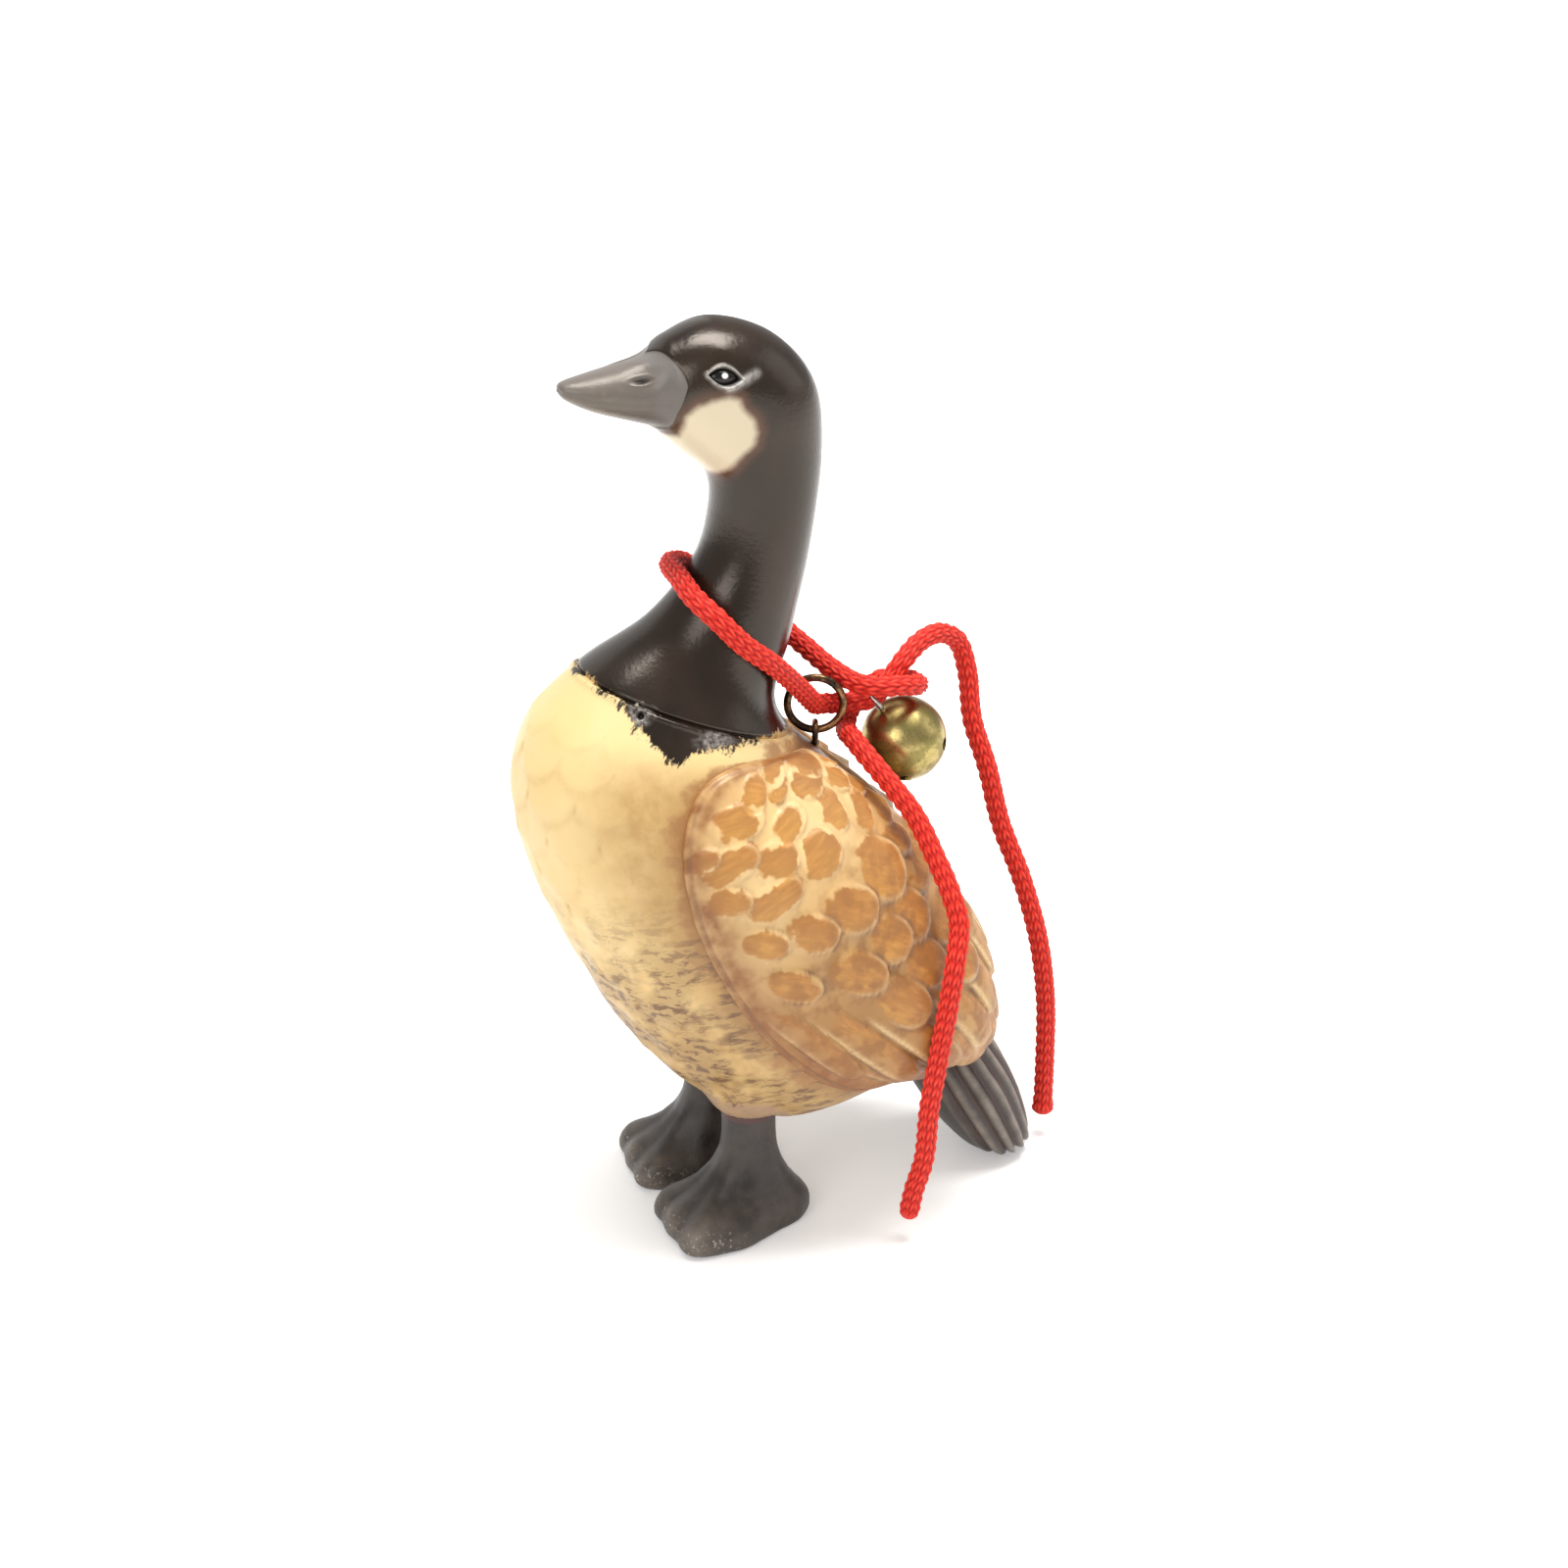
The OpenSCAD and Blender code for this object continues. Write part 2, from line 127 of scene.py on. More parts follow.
# The wing's painted feathers: place along the goose, turn, half length, half width, tilt of the
# long side down towards the tail in degrees, and how dark the brown is.
DABS = [
    (9.25, 62, 1.2, 1.9, 20, 0.7), (9.2, 42, 2.3, 1.6, 15, 0.95), (8.6, 21, 1.3, 0.9, 0, 0.5),
    (8.75, 62, 1.0, 1.7, 25, 0.5), (8.65, 73, 1.1, 1.8, 15, 0.45), (8.55, 47, 1.9, 1.7, -20, 0.9),
    (7.9, 29, 1.5, 1.5, 20, 0.5), (8.15, 82, 2.5, 1.6, -12, 0.5), (7.8, 64, 2.1, 1.4, -38, 0.4),
    (7.4, 44, 1.6, 2.1, -25, 0.5), (6.6, 32, 1.3, 2.4, -20, 0.7), (7.7, 98, 1.7, 1.0, -25, 0.6),
    (7.55, 90, 2.8, 1.5, -20, 0.5), (7.3, 75, 2.1, 1.8, -25, 0.6), (6.9, 60, 2.3, 2.1, -30, 0.55),
    (5.55, 46, 3.2, 2.9, 15, 0.55), (5.35, 30, 2.0, 1.6, 30, 0.75), (4.7, 33, 1.4, 2.6, 25, 0.9),
    (7.1, 96, 2.1, 1.3, 10, 0.4), (6.8, 82, 2.7, 1.6, -25, 0.6), (5.72, 64, 2.9, 2.2, 15, 0.8),
    (4.7, 52, 2.7, 2.4, 22, 0.8), (6.0, 79, 2.6, 1.7, 15, 0.65), (6.35, 93, 2.2, 1.4, 15, 0.35),
    (4.85, 63, 2.5, 2.2, 25, 0.6), (3.95, 43, 1.8, 2.2, 35, 0.85), (5.0, 77, 3.0, 1.9, 28, 0.6),
    (4.15, 61, 2.8, 2.2, 35, 0.9), (5.65, 94, 2.8, 1.5, 22, 0.55), (4.2, 76, 3.4, 2.1, 35, 0.7),
    (3.4, 52, 2.4, 2.1, 42, 0.6), (3.5, 35, 1.8, 2.2, 40, 0.65), (5.9, 22, 1.5, 2.2, 10, 0.6),
    (7.0, 19, 1.3, 1.7, 0, 0.6), (4.7, 18, 1.5, 2.2, 20, 0.8)]
# The long flight feathers along the wing's low side, in the same terms.
QUILLS = [
    (4.9, 103, 7.5, 1.5, 44, 0.55), (4.25, 94, 8.4, 1.7, 42, 0.5), (3.6, 86, 8.0, 1.8, 42, 0.45),
    (2.9, 73, 6.4, 1.9, 45, 0.4), (2.7, 55, 4.8, 2.0, 48, 0.35), (2.6, 36, 3.8, 1.9, 52, 0.4),
    (2.6, 20, 3.2, 1.8, 60, 0.5), (3.3, 106, 6.5, 1.5, 36, 0.35), (2.4, 95, 5.2, 1.9, 40, 0.3),
    (1.9, 76, 3.6, 1.9, 46, 0.25), (1.75, 54, 3.0, 2.0, 50, 0.25)]


# ---------------------------------------------------------------- shapes

def smooth(low, high, value):
    """0 below low, 1 above high, and 3t² - 2t³ between them."""
    t = np.clip((value - low) / (high - low), 0, 1)
    return t * t * (3 - 2 * t)


def hump(distance, width):
    """The bell curve exp(-(distance / width)²)."""
    return np.exp(-(distance / width) ** 2)


def rows_at(rows, place):
    """A table read between its rows: the Catmull-Rom cubic through the two rows before a place
    and the two after it, with the end rows carried on in a straight line."""
    rows = np.asarray(rows, float)
    last = len(rows) - 1
    first = np.clip(np.floor(place).astype(int), 0, last - 1)
    t = (place - first)[..., None]
    b, c = rows[first], rows[first + 1]
    a = np.where((first > 0)[..., None], rows[np.maximum(first - 1, 0)], 2 * b - c)
    d = np.where((first < last - 1)[..., None], rows[np.minimum(first + 2, last)], 2 * c - b)
    return 0.5 * (2 * b + (c - a) * t + (2 * a - 5 * b + 4 * c - d) * t ** 2
                  + (3 * b - a - 3 * c + d) * t ** 3)


def on_loft(rows, place, turn, lift=0.0):
    """A point on a body of oval sections. A section stands on its chord from the lower or front
    edge to the upper or back edge: x = half width × sin(turn), and the point lies
    (1 + cos(turn)) / 2 of the way up the chord. It is then lifted along the oval's normal."""
    row = rows_at(rows, place)
    chord = row[..., 2:4] - row[..., 0:2]
    deep = np.linalg.norm(chord, axis=-1)
    share = (1 + np.cos(turn)) / 2
    point = np.stack([row[..., 4] * np.sin(turn), row[..., 0] + chord[..., 0] * share,
                      row[..., 1] + chord[..., 1] * share], -1)
    out = 2 * np.cos(turn) / deep ** 2
    normal = np.stack([np.sin(turn) / row[..., 4], chord[..., 0] * out, chord[..., 1] * out], -1)
    normal /= np.linalg.norm(normal, axis=-1, keepdims=True)
    return point + normal * np.asarray(lift)[..., None]


def outward(points):
    """Unit normals of a grid whose columns close round: the cross product of its two slopes,
    turned away from the middle of each row."""
    along = np.gradient(points, axis=0)
    around = (np.roll(points, -1, 1) - np.roll(points, 1, 1)) / 2
    normal = np.cross(along, around)
    normal /= np.linalg.norm(normal, axis=-1, keepdims=True) + 1e-12
    middle = points.mean(1, keepdims=True)
    return normal * np.sign(np.sum((points - middle) * normal, axis=(1, 2)))[:, None, None]


def spaced(low, high, count, *dense):
    """Values from low to high, closer together round each (centre, width, gain): the spacing is
    one over the summed weight 1 + gain × hump."""
    fine = np.linspace(low, high, 6001)
    weight = 1 + sum(gain * hump(fine - centre, width) for centre, width, gain in dense)
    total = np.concatenate([[0], np.cumsum((weight[1:] + weight[:-1]) / 2)])
    return np.interp(np.linspace(0, total[-1], count), total, fine)


def steps(points, axis):
    """Length of one unit of the grid's index along an axis, at every point."""
    return np.linalg.norm(np.gradient(points, axis=axis), axis=-1)


def edge_distance(y, z, outline):
    """Distance to a closed outline, positive inside: the nearest of its straight sides, signed
    by how many of them a line towards +y crosses."""
    nearest = np.full(y.shape, 1e9)
    inside = np.zeros(y.shape, bool)
    for (y0, z0), (y1, z1) in zip(outline, np.roll(outline, -1, 0)):
        dy, dz = y1 - y0, z1 - z0
        t = np.clip(((y - y0) * dy + (z - z0) * dz) / (dy * dy + dz * dz), 0, 1)
        nearest = np.minimum(nearest, np.hypot(y - y0 - t * dy, z - z0 - t * dz))
        crosses = (z0 > z) != (z1 > z)
        if dz:
            inside ^= crosses & (y < y0 + (z - z0) / dz * dy)
    return np.where(inside, nearest, -nearest)


def waves(points, size, seed):
    """Soft unevenness from -1 to 1: the mean of five plane sine waves about size mm long, in
    directions drawn from a fixed seed."""
    draw = np.random.default_rng(seed)
    total = np.zeros(points.shape[:-1])
    for _ in range(5):
        way = draw.normal(size=3)
        way /= np.linalg.norm(way)
        length = size * draw.uniform(0.7, 1.4)
        total += np.sin(points @ way * 2 * np.pi / length + draw.uniform(0, 6.3))
    return total / 5


def skin(name, points, material, body, marks=None, caps="fan"):
    """A closed mesh over a grid of points in mm. Columns close round, neighbouring rows are
    joined by four-sided faces, and each end row is closed by a fan from its middle or by one
    flat face. The faces are turned outward by the sign of the enclosed volume. Marks are values
    at the points, or one value for all of them, which the material reads."""
    rows, columns = points.shape[:2]
    index = np.arange(rows * columns).reshape(rows, columns)
    beside = np.roll(index, -1, 1)
    quads = np.stack([index[:-1], beside[:-1], beside[1:], index[1:]], -1).reshape(-1, 4)
    flat = points.reshape(-1, 3)
    marks = {key: np.broadcast_to(value, (rows, columns)).astype(float).reshape(-1)
             for key, value in (marks or {}).items()}
    loops = [quads]
    if caps == "fan":
        ends = np.array([[rows * columns], [rows * columns + 1]])
        middles = np.stack([points[0].mean(0), points[-1].mean(0)])
        flat = np.concatenate([flat, middles])
        marks = {key: np.append(value, [value[:columns].mean(), value[-columns:].mean()])
                 for key, value in marks.items()}
        one = np.ones((columns, 1), int)
        for end, sides in zip(ends, ((beside[0], index[0]), (index[-1], beside[-1]))):
            loops.append(np.concatenate([np.stack(sides, -1), one * end], -1))
    else:
        loops += [index[:1, ::-1], index[-1:]]
    a, b, c, d = (flat[quads[:, k]] for k in range(4))
    volume = np.sum(a * np.cross(b, c)) + np.sum(a * np.cross(c, d))
    if volume < 0:
        loops = [faces[:, ::-1] for faces in loops]
    corners = np.concatenate([faces.ravel() for faces in loops])
    sizes = np.concatenate([np.full(len(faces), faces.shape[1]) for faces in loops])
    starts = np.concatenate([[0], np.cumsum(sizes)[:-1]])
    mesh = bpy.data.meshes.new(name)
    mesh.vertices.add(len(flat))
    mesh.vertices.foreach_set("co", (flat * MM).ravel())
    mesh.loops.add(len(corners))
    mesh.loops.foreach_set("vertex_index", corners.astype(np.int32))
    mesh.polygons.add(len(starts))
    mesh.polygons.foreach_set("loop_start", starts.astype(np.int32))
    mesh.polygons.foreach_set("use_smooth", np.ones(len(starts), bool))
    for key, value in marks.items():
        mesh.attributes.new(key, "FLOAT", "POINT").data.foreach_set("value", value)
    mesh.update(calc_edges=True)
    if mesh.validate():
        raise RuntimeError(f"{name} has faces that Blender had to mend")
    piece = bpy.data.objects.new(name, mesh)
    bpy.context.collection.objects.link(piece)
    mesh.materials.append(material)
    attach(piece, body)
    return piece


# ---------------------------------------------------------------- materials

COLOURS = {"out": 2, "data_type": "RGBA"}


def colour(text):
    """An sRGB hex colour as linear red, green, blue and alpha."""
    part = np.array([int(text[k:k + 2], 16) for k in (1, 3, 5)]) / 255
    return (*np.where(part <= 0.04045, part / 12.92, ((part + 0.055) / 1.055) ** 2.4), 1.0)


def chosen(value):
    """A colour chosen in the panel, which is linear, as a material takes it."""
    return (*value[:3], 1.0)


def node(tree, kind, inputs=None, out=0, **settings):
    """Adds one node with its settings, sets or links its inputs, and returns one of its outputs.

    Inputs are named or numbered. Math: its values from 0 on. MapRange: the value 0, its range 1
    and 2, the new range 3 and 4. Mix of two colours: its factor 0, the colours 6 and 7."""
    made = tree.nodes.new("ShaderNode" + kind)
    for key, value in settings.items():
        setattr(made, key, value)
    for key, value in (inputs or {}).items():
        if isinstance(value, bpy.types.NodeSocket):
            tree.links.new(value, made.inputs[key])
        else:
            made.inputs[key].default_value = value
    return made.outputs[out]


def new_material(name):
    """An empty node material, its tree and its Principled shader."""
    material = bpy.data.materials.new(name)
    material.use_nodes = True
    tree = material.node_tree
    shader = next(n for n in tree.nodes if n.type == "BSDF_PRINCIPLED")
    return material, tree, shader


def finish_surface(tree, shader, base, roughness, height=None, depth=0.0001, **constants):
    """Links a colour, a roughness and a bump of real depth in metres to a shader."""
    tree.links.new(base, shader.inputs["Base Color"])
    if isinstance(roughness, bpy.types.NodeSocket):
        tree.links.new(roughness, shader.inputs["Roughness"])
    else:
        shader.inputs["Roughness"].default_value = roughness
    if height is not None:
        tree.links.new(node(tree, "Bump", {"Height": height, "Distance": depth, "Strength": 1.0}),
                       shader.inputs["Normal"])
    for key, value in constants.items():
        shader.inputs[key.replace("_", " ")].default_value = value


def size(millimetres):
    """The noise scale that gives features of a real size on coordinates in metres."""
    return 1000 / millimetres


def brushwork(tree, noises, marks, changes, strokes=()):
    """The patterns that paint is laid on with, by name. Noises come with their feature size in mm
    and their settings, and marks are values that the mesh holds. Strokes are noise drawn out by
    the brush, which leans about X and is so many mm long on each axis. A change spreads a pattern
    from one range to another, and multiplies a mark by it or adds it, under the mark's name or a
    new one."""
    place = node(tree, "TexCoord", out=3)
    made = {name: node(tree, "TexNoise", {"Vector": place, "Scale": size(wide), **settings})
            for name, wide, settings in noises}
    made.update((key, node(tree, "Attribute", attribute_name=key, out=2)) for key in marks)
    for name, lean, long, settings in strokes:
        drawn = node(tree, "Mapping", {0: place, 2: (lean, 0, 0), 3: [MM * side for side in long]},
                     vector_type="TEXTURE")
        made[name] = node(tree, "TexNoise", {"Vector": drawn, "Scale": 1.0, **settings})
    for name, key, operation, source, low, high, least, most in changes:
        spread = node(tree, "MapRange", {0: made[source], 1: low, 2: high, 3: least, 4: most})
        made[name] = node(tree, "Math", {0: made[key], 1: spread}, operation=operation,
                          use_clamp=operation == "MULTIPLY")
    return made


def painted_bisque(paint):
    """Unglazed porcelain, slip cast and painted by hand with thin satin acrylics: a soft wide
    highlight, brush edges and washes that show the cream ground."""
    material, tree, shader = new_material("painted_bisque_porcelain")
    made = brushwork(
        tree, (("cloudy", 9, {"Detail": 3}), ("blotch", 2.4, {"Detail": 4, "Roughness": 0.6}),
               ("patch", 5.5, {"Detail": 2}), ("fine", 0.5, {"Detail": 3}),
               ("grain", 0.16, {"Detail": 2})),
        ("dark_mm", "flank", "wing_mm", "back", "belly", "leg_mm", "joint_mm", "smear",
         "cheek_mm", "bill_mm", "lid", "pit", "scallop_shade"),
        (("scallop_shade", "scallop_shade", "MULTIPLY", "blotch", 0.35, 0.6, 0.1, 0.55),
         ("flank", "flank", "MULTIPLY", "blotch", 0.3, 0.7, 0.65, 1.15),
         ("back", "back", "MULTIPLY", "blotch", 0.25, 0.75, 0.7, 1.2),
         ("smear", "smear", "MULTIPLY", "fine", 0.35, 0.65, 0.1, 1.2),
         ("lid", "lid", "MULTIPLY", "fine", 0.3, 0.55, 0.45, 1),
         ("soiled", "belly", "MULTIPLY", "patch", 0.35, 0.52, 0, 0.9),
         ("wing_mm", "wing_mm", "ADD", "blotch", 0.3, 0.7, -1.6, 1.6),
         ("cheek_mm", "cheek_mm", "ADD", "blotch", 0.3, 0.7, -0.14, 0.14),
         ("dark_mm", "dark_mm", "ADD", "bristles", 0.25, 0.75, -0.95, 0.95),
         ("dark_mm", "dark_mm", "ADD", "blotch", 0.3, 0.7, -0.8, 0.8)),
        # Dry-brushed dashes 4.2 mm by 0.9 mm, and bristle streaks 0.4 mm wide and 2.2 mm long.
        (("dashes", 0.3, (1.4, 4.2, 0.9), {"Detail": 4, "Roughness": 0.65, "Distortion": 0.3}),
         ("bristles", -0.55, (0.4, 0.4, 2.2), {"Detail": 4, "Roughness": 0.7})))
    # Each cover goes softly from nothing to its most between two values of a pattern.
    cover = {name: node(tree, "MapRange", {0: made[key], 1: low, 2: high, 4: most},
                        interpolation_type="SMOOTHSTEP")
             for name, key, low, high, most in (
                 ("wash", "wing_mm", 3.2, 0.2, 0.85), ("band", "leg_mm", 2.6, 1.6, 0.85),
                 ("dashes", "dashes", 0.47, 0.58, 1), ("dark", "dark_mm", -0.25, 0.28, 1),
                 ("halo", "cheek_mm", -1.5, 0.3, 1), ("cheek", "cheek_mm", -0.3, 0.8, 1),
                 ("bill", "bill_mm", -0.05, 0.12, 1), ("beyond", "bill_mm", 1.6, 3.6, 1))}
    cloudy = node(tree, "MapRange", {0: made["cloudy"], 1: 0.35, 2: 0.65})
    dirty, dashed = (node(tree, "Math", {0: made["soiled"], 1: share}, operation="MULTIPLY")
                     for share in (0.6, cover["dashes"]))
    # The whitish chips lie on the joint, and the bill is worn towards its tip.
    made["joint_mm"] = node(tree, "Math", {0: made["joint_mm"]}, operation="ABSOLUTE")
    chips, worn = (node(tree, "MapRange", {0: made[key], 1: low, 2: high})
                   for key, low, high in (("joint_mm", 0.7, 0.1), ("bill_mm", 4, 10.5)))
    for source, low, high in (("blotch", 0.58, 0.66), ("fine", 0.52, 0.6)):
        share = node(tree, "MapRange", {0: made[source], 1: low, 2: high})
        chips = node(tree, "Math", {0: chips, 1: share}, operation="MULTIPLY")
    worn = node(tree, "Math", {0: worn, 1: node(tree, "MapRange", {
        0: made["blotch"], 1: 0.5, 2: 0.7, 3: 0.05, 4: 0.5})}, operation="MULTIPLY")
    # Cream ground, its washes and the painted shade laid on it, from the first to the last.
    ground = chosen(paint.breast)
    for share, tone in (
            (cloudy, colour("#E9C98A")),
            (made["scallop_shade"], colour("#C9A468")),  # painted shade along the edges of the breast feathers
            (made["flank"], chosen(paint.flank)),
            (cover["wash"], colour("#9C6B3F")),  # brown wash and painted shade on the body along the wing's border
            (made["back"], colour("#6E4A33")),  # painted shade in the valley between the wings, carried up behind the neck's joint
            (dirty, colour("#9A7A50")), (dashed, colour("#6E4E38")),  # dry-brushed belly
            (cover["band"], colour("#A98A6E"))):  # slip where a leg is cemented in
        ground = node(tree, "Mix", {0: share, 6: ground, 7: tone}, **COLOURS)
    # The bill is slate at its base, grey-brown beyond, and tan where it has worn.
    horn = colour("#6A6561")
    for share, tone in ((cover["beyond"], chosen(paint.bill)), (worn, colour("#94836F"))):
        horn = node(tree, "Mix", {0: share, 6: horn, 7: tone}, **COLOURS)
    # Dark satin paint of the neck and head, and what lies on it.
    black = chosen(paint.neck)
    for share, tone in (
            (cloudy, colour("#2C2018")),
            (made["smear"], colour("#8B8580")),  # grey glossy smears by the joint
            (chips, colour("#CFC6B4")),
            (cover["halo"], colour("#5E3C2C")),  # airbrushed edge of the cheek patch
            (cover["cheek"], chosen(paint.cheek)),
            (cover["bill"], horn),
            (made["lid"], colour("#B4AFA9"))):  # painted highlight on the lids and on the ridge behind the eye
        black = node(tree, "Mix", {0: share, 6: black, 7: tone}, **COLOURS)
    base = node(tree, "Mix", {0: cover["dark"], 6: ground, 7: black}, **COLOURS)
    # Painted shade in the pits: the vent, the nostrils, the eye openings and the mouth line.
    base = node(tree, "Mix", {0: made["pit"], 6: base, 7: colour("#16120F")}, **COLOURS)
    # The dark paint is glossier than the ground, and the bill less so.
    rough = node(tree, "MapRange", {0: made["blotch"], 1: 0.3, 2: 0.7, 3: 0.4, 4: 0.47})
    for part, share in ((cover["dark"], -0.21), (made["smear"], -0.04), (cover["bill"], 0.12)):
        rough = node(tree, "Math", {0: part, 1: share, 2: rough}, operation="MULTIPLY_ADD")
    height = 0.0
    for part, share in ((made["fine"], 0.6), (cover["dark"], 1.2), (made["grain"], 0.25)):
        height = node(tree, "Math", {0: part, 1: share, 2: height}, operation="MULTIPLY_ADD")
    finish_surface(tree, shader, base, rough, height, 0.00004, IOR=1.52,
                   Specular_Tint=(1, 0.89, 0.77, 1))
    return material


def painted_wing(paint):
    """The same porcelain with a cream ground and caramel dabs laid on with a round brush, a brown
    wash with painted shade in the grooves, and a painted highlight on the feathers' ridges."""
    material, tree, shader = new_material("painted_wing_porcelain")
    made = brushwork(
        tree, (("cloudy", 7, {"Detail": 3}), ("blotch", 2.2, {"Detail": 2}),
               ("fine", 0.45, {"Detail": 3}), ("grain", 0.16, {"Detail": 2})),
        ("dab_mm", "tone", "groove", "low", "fore", "pale"),
        (("dab_mm", "dab_mm", "ADD", "blotch", 0.3, 0.7, -0.5, 0.5),
         ("dab_mm", "dab_mm", "ADD", "fine", 0.3, 0.7, -0.05, 0.05),
         ("mottle", "low", "MULTIPLY", "blotch", 0.46, 0.62, 0, 0.7),
         ("pale", "pale", "MULTIPLY", "fine", 0.3, 0.6, 0.4, 0.9),
         ("fore", "fore", "MULTIPLY", "blotch", 0.3, 0.65, 0.5, 0.95),
         ("groove", "groove", "MULTIPLY", "blotch", 0.3, 0.62, 0.15, 1)))
    # Brush streaks run along each dab.
    made["streak"] = node(tree, "TexNoise", {
        "Vector": node(tree, "Attribute", attribute_name="brush", out=1),
        "Scale": 1.0, "Detail": 3, "Roughness": 0.65})
    clouds, warmer, darker, lighter = (
        node(tree, "MapRange", {0: made[source], 1: low, 2: high, 4: most})
        for source, low, high, most in (("cloudy", 0.4, 0.65, 0.45), ("blotch", 0.35, 0.7, 0.5),
                                        ("streak", 0.42, 0.66, 0.3), ("streak", 0.5, 0.3, 0.3)))
    dab = node(tree, "MapRange", {0: made["dab_mm"], 1: -0.16, 2: 0.22, 4: 0.92},
               interpolation_type="SMOOTHSTEP")
    brown = colour("#CE9442")
    for share, tone in ((made["tone"], chosen(paint.feather)), (warmer, colour("#BC7E36")),
                        (darker, colour("#8C5A30")), (lighter, colour("#DDA458"))):
        brown = node(tree, "Mix", {0: share, 6: brown, 7: tone}, **COLOURS)
    face = chosen(paint.wing)
    for share, tone in (
            (made["low"], colour("#A97A42")), (clouds, colour("#D8A865")), (dab, brown),
            # pale is a painted highlight on the feathers' ridges and rims.
            (made["mottle"], colour("#8E5F34")), (made["pale"], colour("#E0C08B")),
            (made["fore"], colour("#8C572A")),  # brown along the front edge
            # groove is painted shade in the grooves, together with the brown wash that settles
            # there.
            (made["groove"], colour("#7A583C"))):
        face = node(tree, "Mix", {0: share, 6: face, 7: tone}, **COLOURS)
    rough = node(tree, "MapRange", {0: made["blotch"], 1: 0.3, 2: 0.7, 3: 0.36, 4: 0.5})
    height = 0.0
    for part, share in ((made["fine"], 0.5), (made["grain"], 0.25)):
        height = node(tree, "Math", {0: part, 1: share, 2: height}, operation="MULTIPLY_ADD")
    finish_surface(tree, shader, face, rough, height, 0.00004, IOR=1.5)
    return material


def dark_castings(paint):
    """Porcelain under dark grey-brown satin paint, with a painted highlight on its crests and over
    the feet, painted shade in the tail's furrows, and paint rubbed lighter on the toe tips and the
    tail's tip.
    """
    material, tree, shader = new_material("dark_painted_porcelain")
    made = brushwork(
        tree, (("blotch", 2.5, {"Detail": 3}), ("fine", 0.4, {"Detail": 3})),
        ("crest", "worn", "seam_and_furrow_shade"),
        (("crest", "crest", "MULTIPLY", "blotch", 0.3, 0.7, 0.35, 1),
         ("worn", "worn", "MULTIPLY", "fine", 0.6, 0.72, 0, 1)))
    base = chosen(paint.legs)
    # crest is a painted highlight on the tail's ridges and over the feet, worn is paint rubbed
    # thin, and the seam mark is the leg's dark joint line and painted shade in the tail's furrows.
    for share, tone in (
            (node(tree, "MapRange", {0: made["blotch"], 1: 0.35, 2: 0.65}), "#3F3731"),
            (made["crest"], "#968A7E"), (made["worn"], "#B9AC9C"), (made["seam_and_furrow_shade"], "#4E2A26")):
        base = node(tree, "Mix", {0: share, 6: base, 7: colour(tone)}, **COLOURS)
    rough = node(tree, "MapRange", {0: made["blotch"], 1: 0.3, 2: 0.7, 3: 0.38, 4: 0.52})
    finish_surface(tree, shader, base, rough, made["fine"], 0.00003, IOR=1.5)
    return material


def knitted_yarn(paint):
    """Red polypropylene yarn, warp knitted into a round cord: a painted highlight on the stitches'
    filaments, and painted shade in deep red between the stitches."""
    material, tree, shader = new_material("knitted_polypropylene_yarn")
    thread = node(tree, "Attribute", attribute_name="thread", out=1)
    crest, melted = (node(tree, "Attribute", attribute_name=key, out=2)
                     for key in ("crest", "melted"))
    # Filaments are 0.1 mm apart, coarser than real ones so that they show.
    filaments = node(tree, "TexNoise", {"Vector": thread, "Scale": 1.0, "Detail": 2,
                                        "Roughness": 0.6})
    strands = node(tree, "MapRange", {0: filaments, 1: 0.3, 2: 0.7})
    raised = node(tree, "MapRange", {0: crest, 1: 0.12, 2: 0.55}, interpolation_type="SMOOTHSTEP")
    bright = node(tree, "Math", {
        0: node(tree, "MapRange", {0: crest, 1: 0.6, 2: 1.0, 4: 0.9}), 1: strands},
        operation="MULTIPLY")
    # Deep red is painted shade between the stitches, the yarn's own red lies on their raised legs,
    # and a painted highlight lies on the highest.
    base = colour("#A0140C")
    for share, tone in ((raised, chosen(paint.cord)), (bright, colour("#FF6C50")),
                        (melted, colour("#DD3A35"))):
        base = node(tree, "Mix", {0: share, 6: base, 7: tone}, **COLOURS)
    rough = node(tree, "MapRange", {0: strands, 3: 0.62, 4: 0.42})
    finish_surface(tree, shader, base, rough, filaments, 0.00005, IOR=1.35, Sheen_Weight=0.04,
                   Sheen_Roughness=0.5)
    return material


def glossy_eye():
    """Black enamel, brushed on and self-levelled, with one white dot."""
    material, tree, shader = new_material("black_enamel")
    place = node(tree, "TexCoord", out=3)
    blotch = node(tree, "TexNoise", {"Vector": place, "Scale": size(0.8), "Detail": 2})
    base = colour("#0B0A0A")
    for share, tone in ((blotch, "#241E1B"),
                        (node(tree, "Attribute", attribute_name="dot", out=2), "#F4F1EA")):
        base = node(tree, "Mix", {0: share, 6: base, 7: colour(tone)}, **COLOURS)
    finish_surface(tree, shader, base, 0.14, blotch, 0.000004, IOR=1.4)
    return material


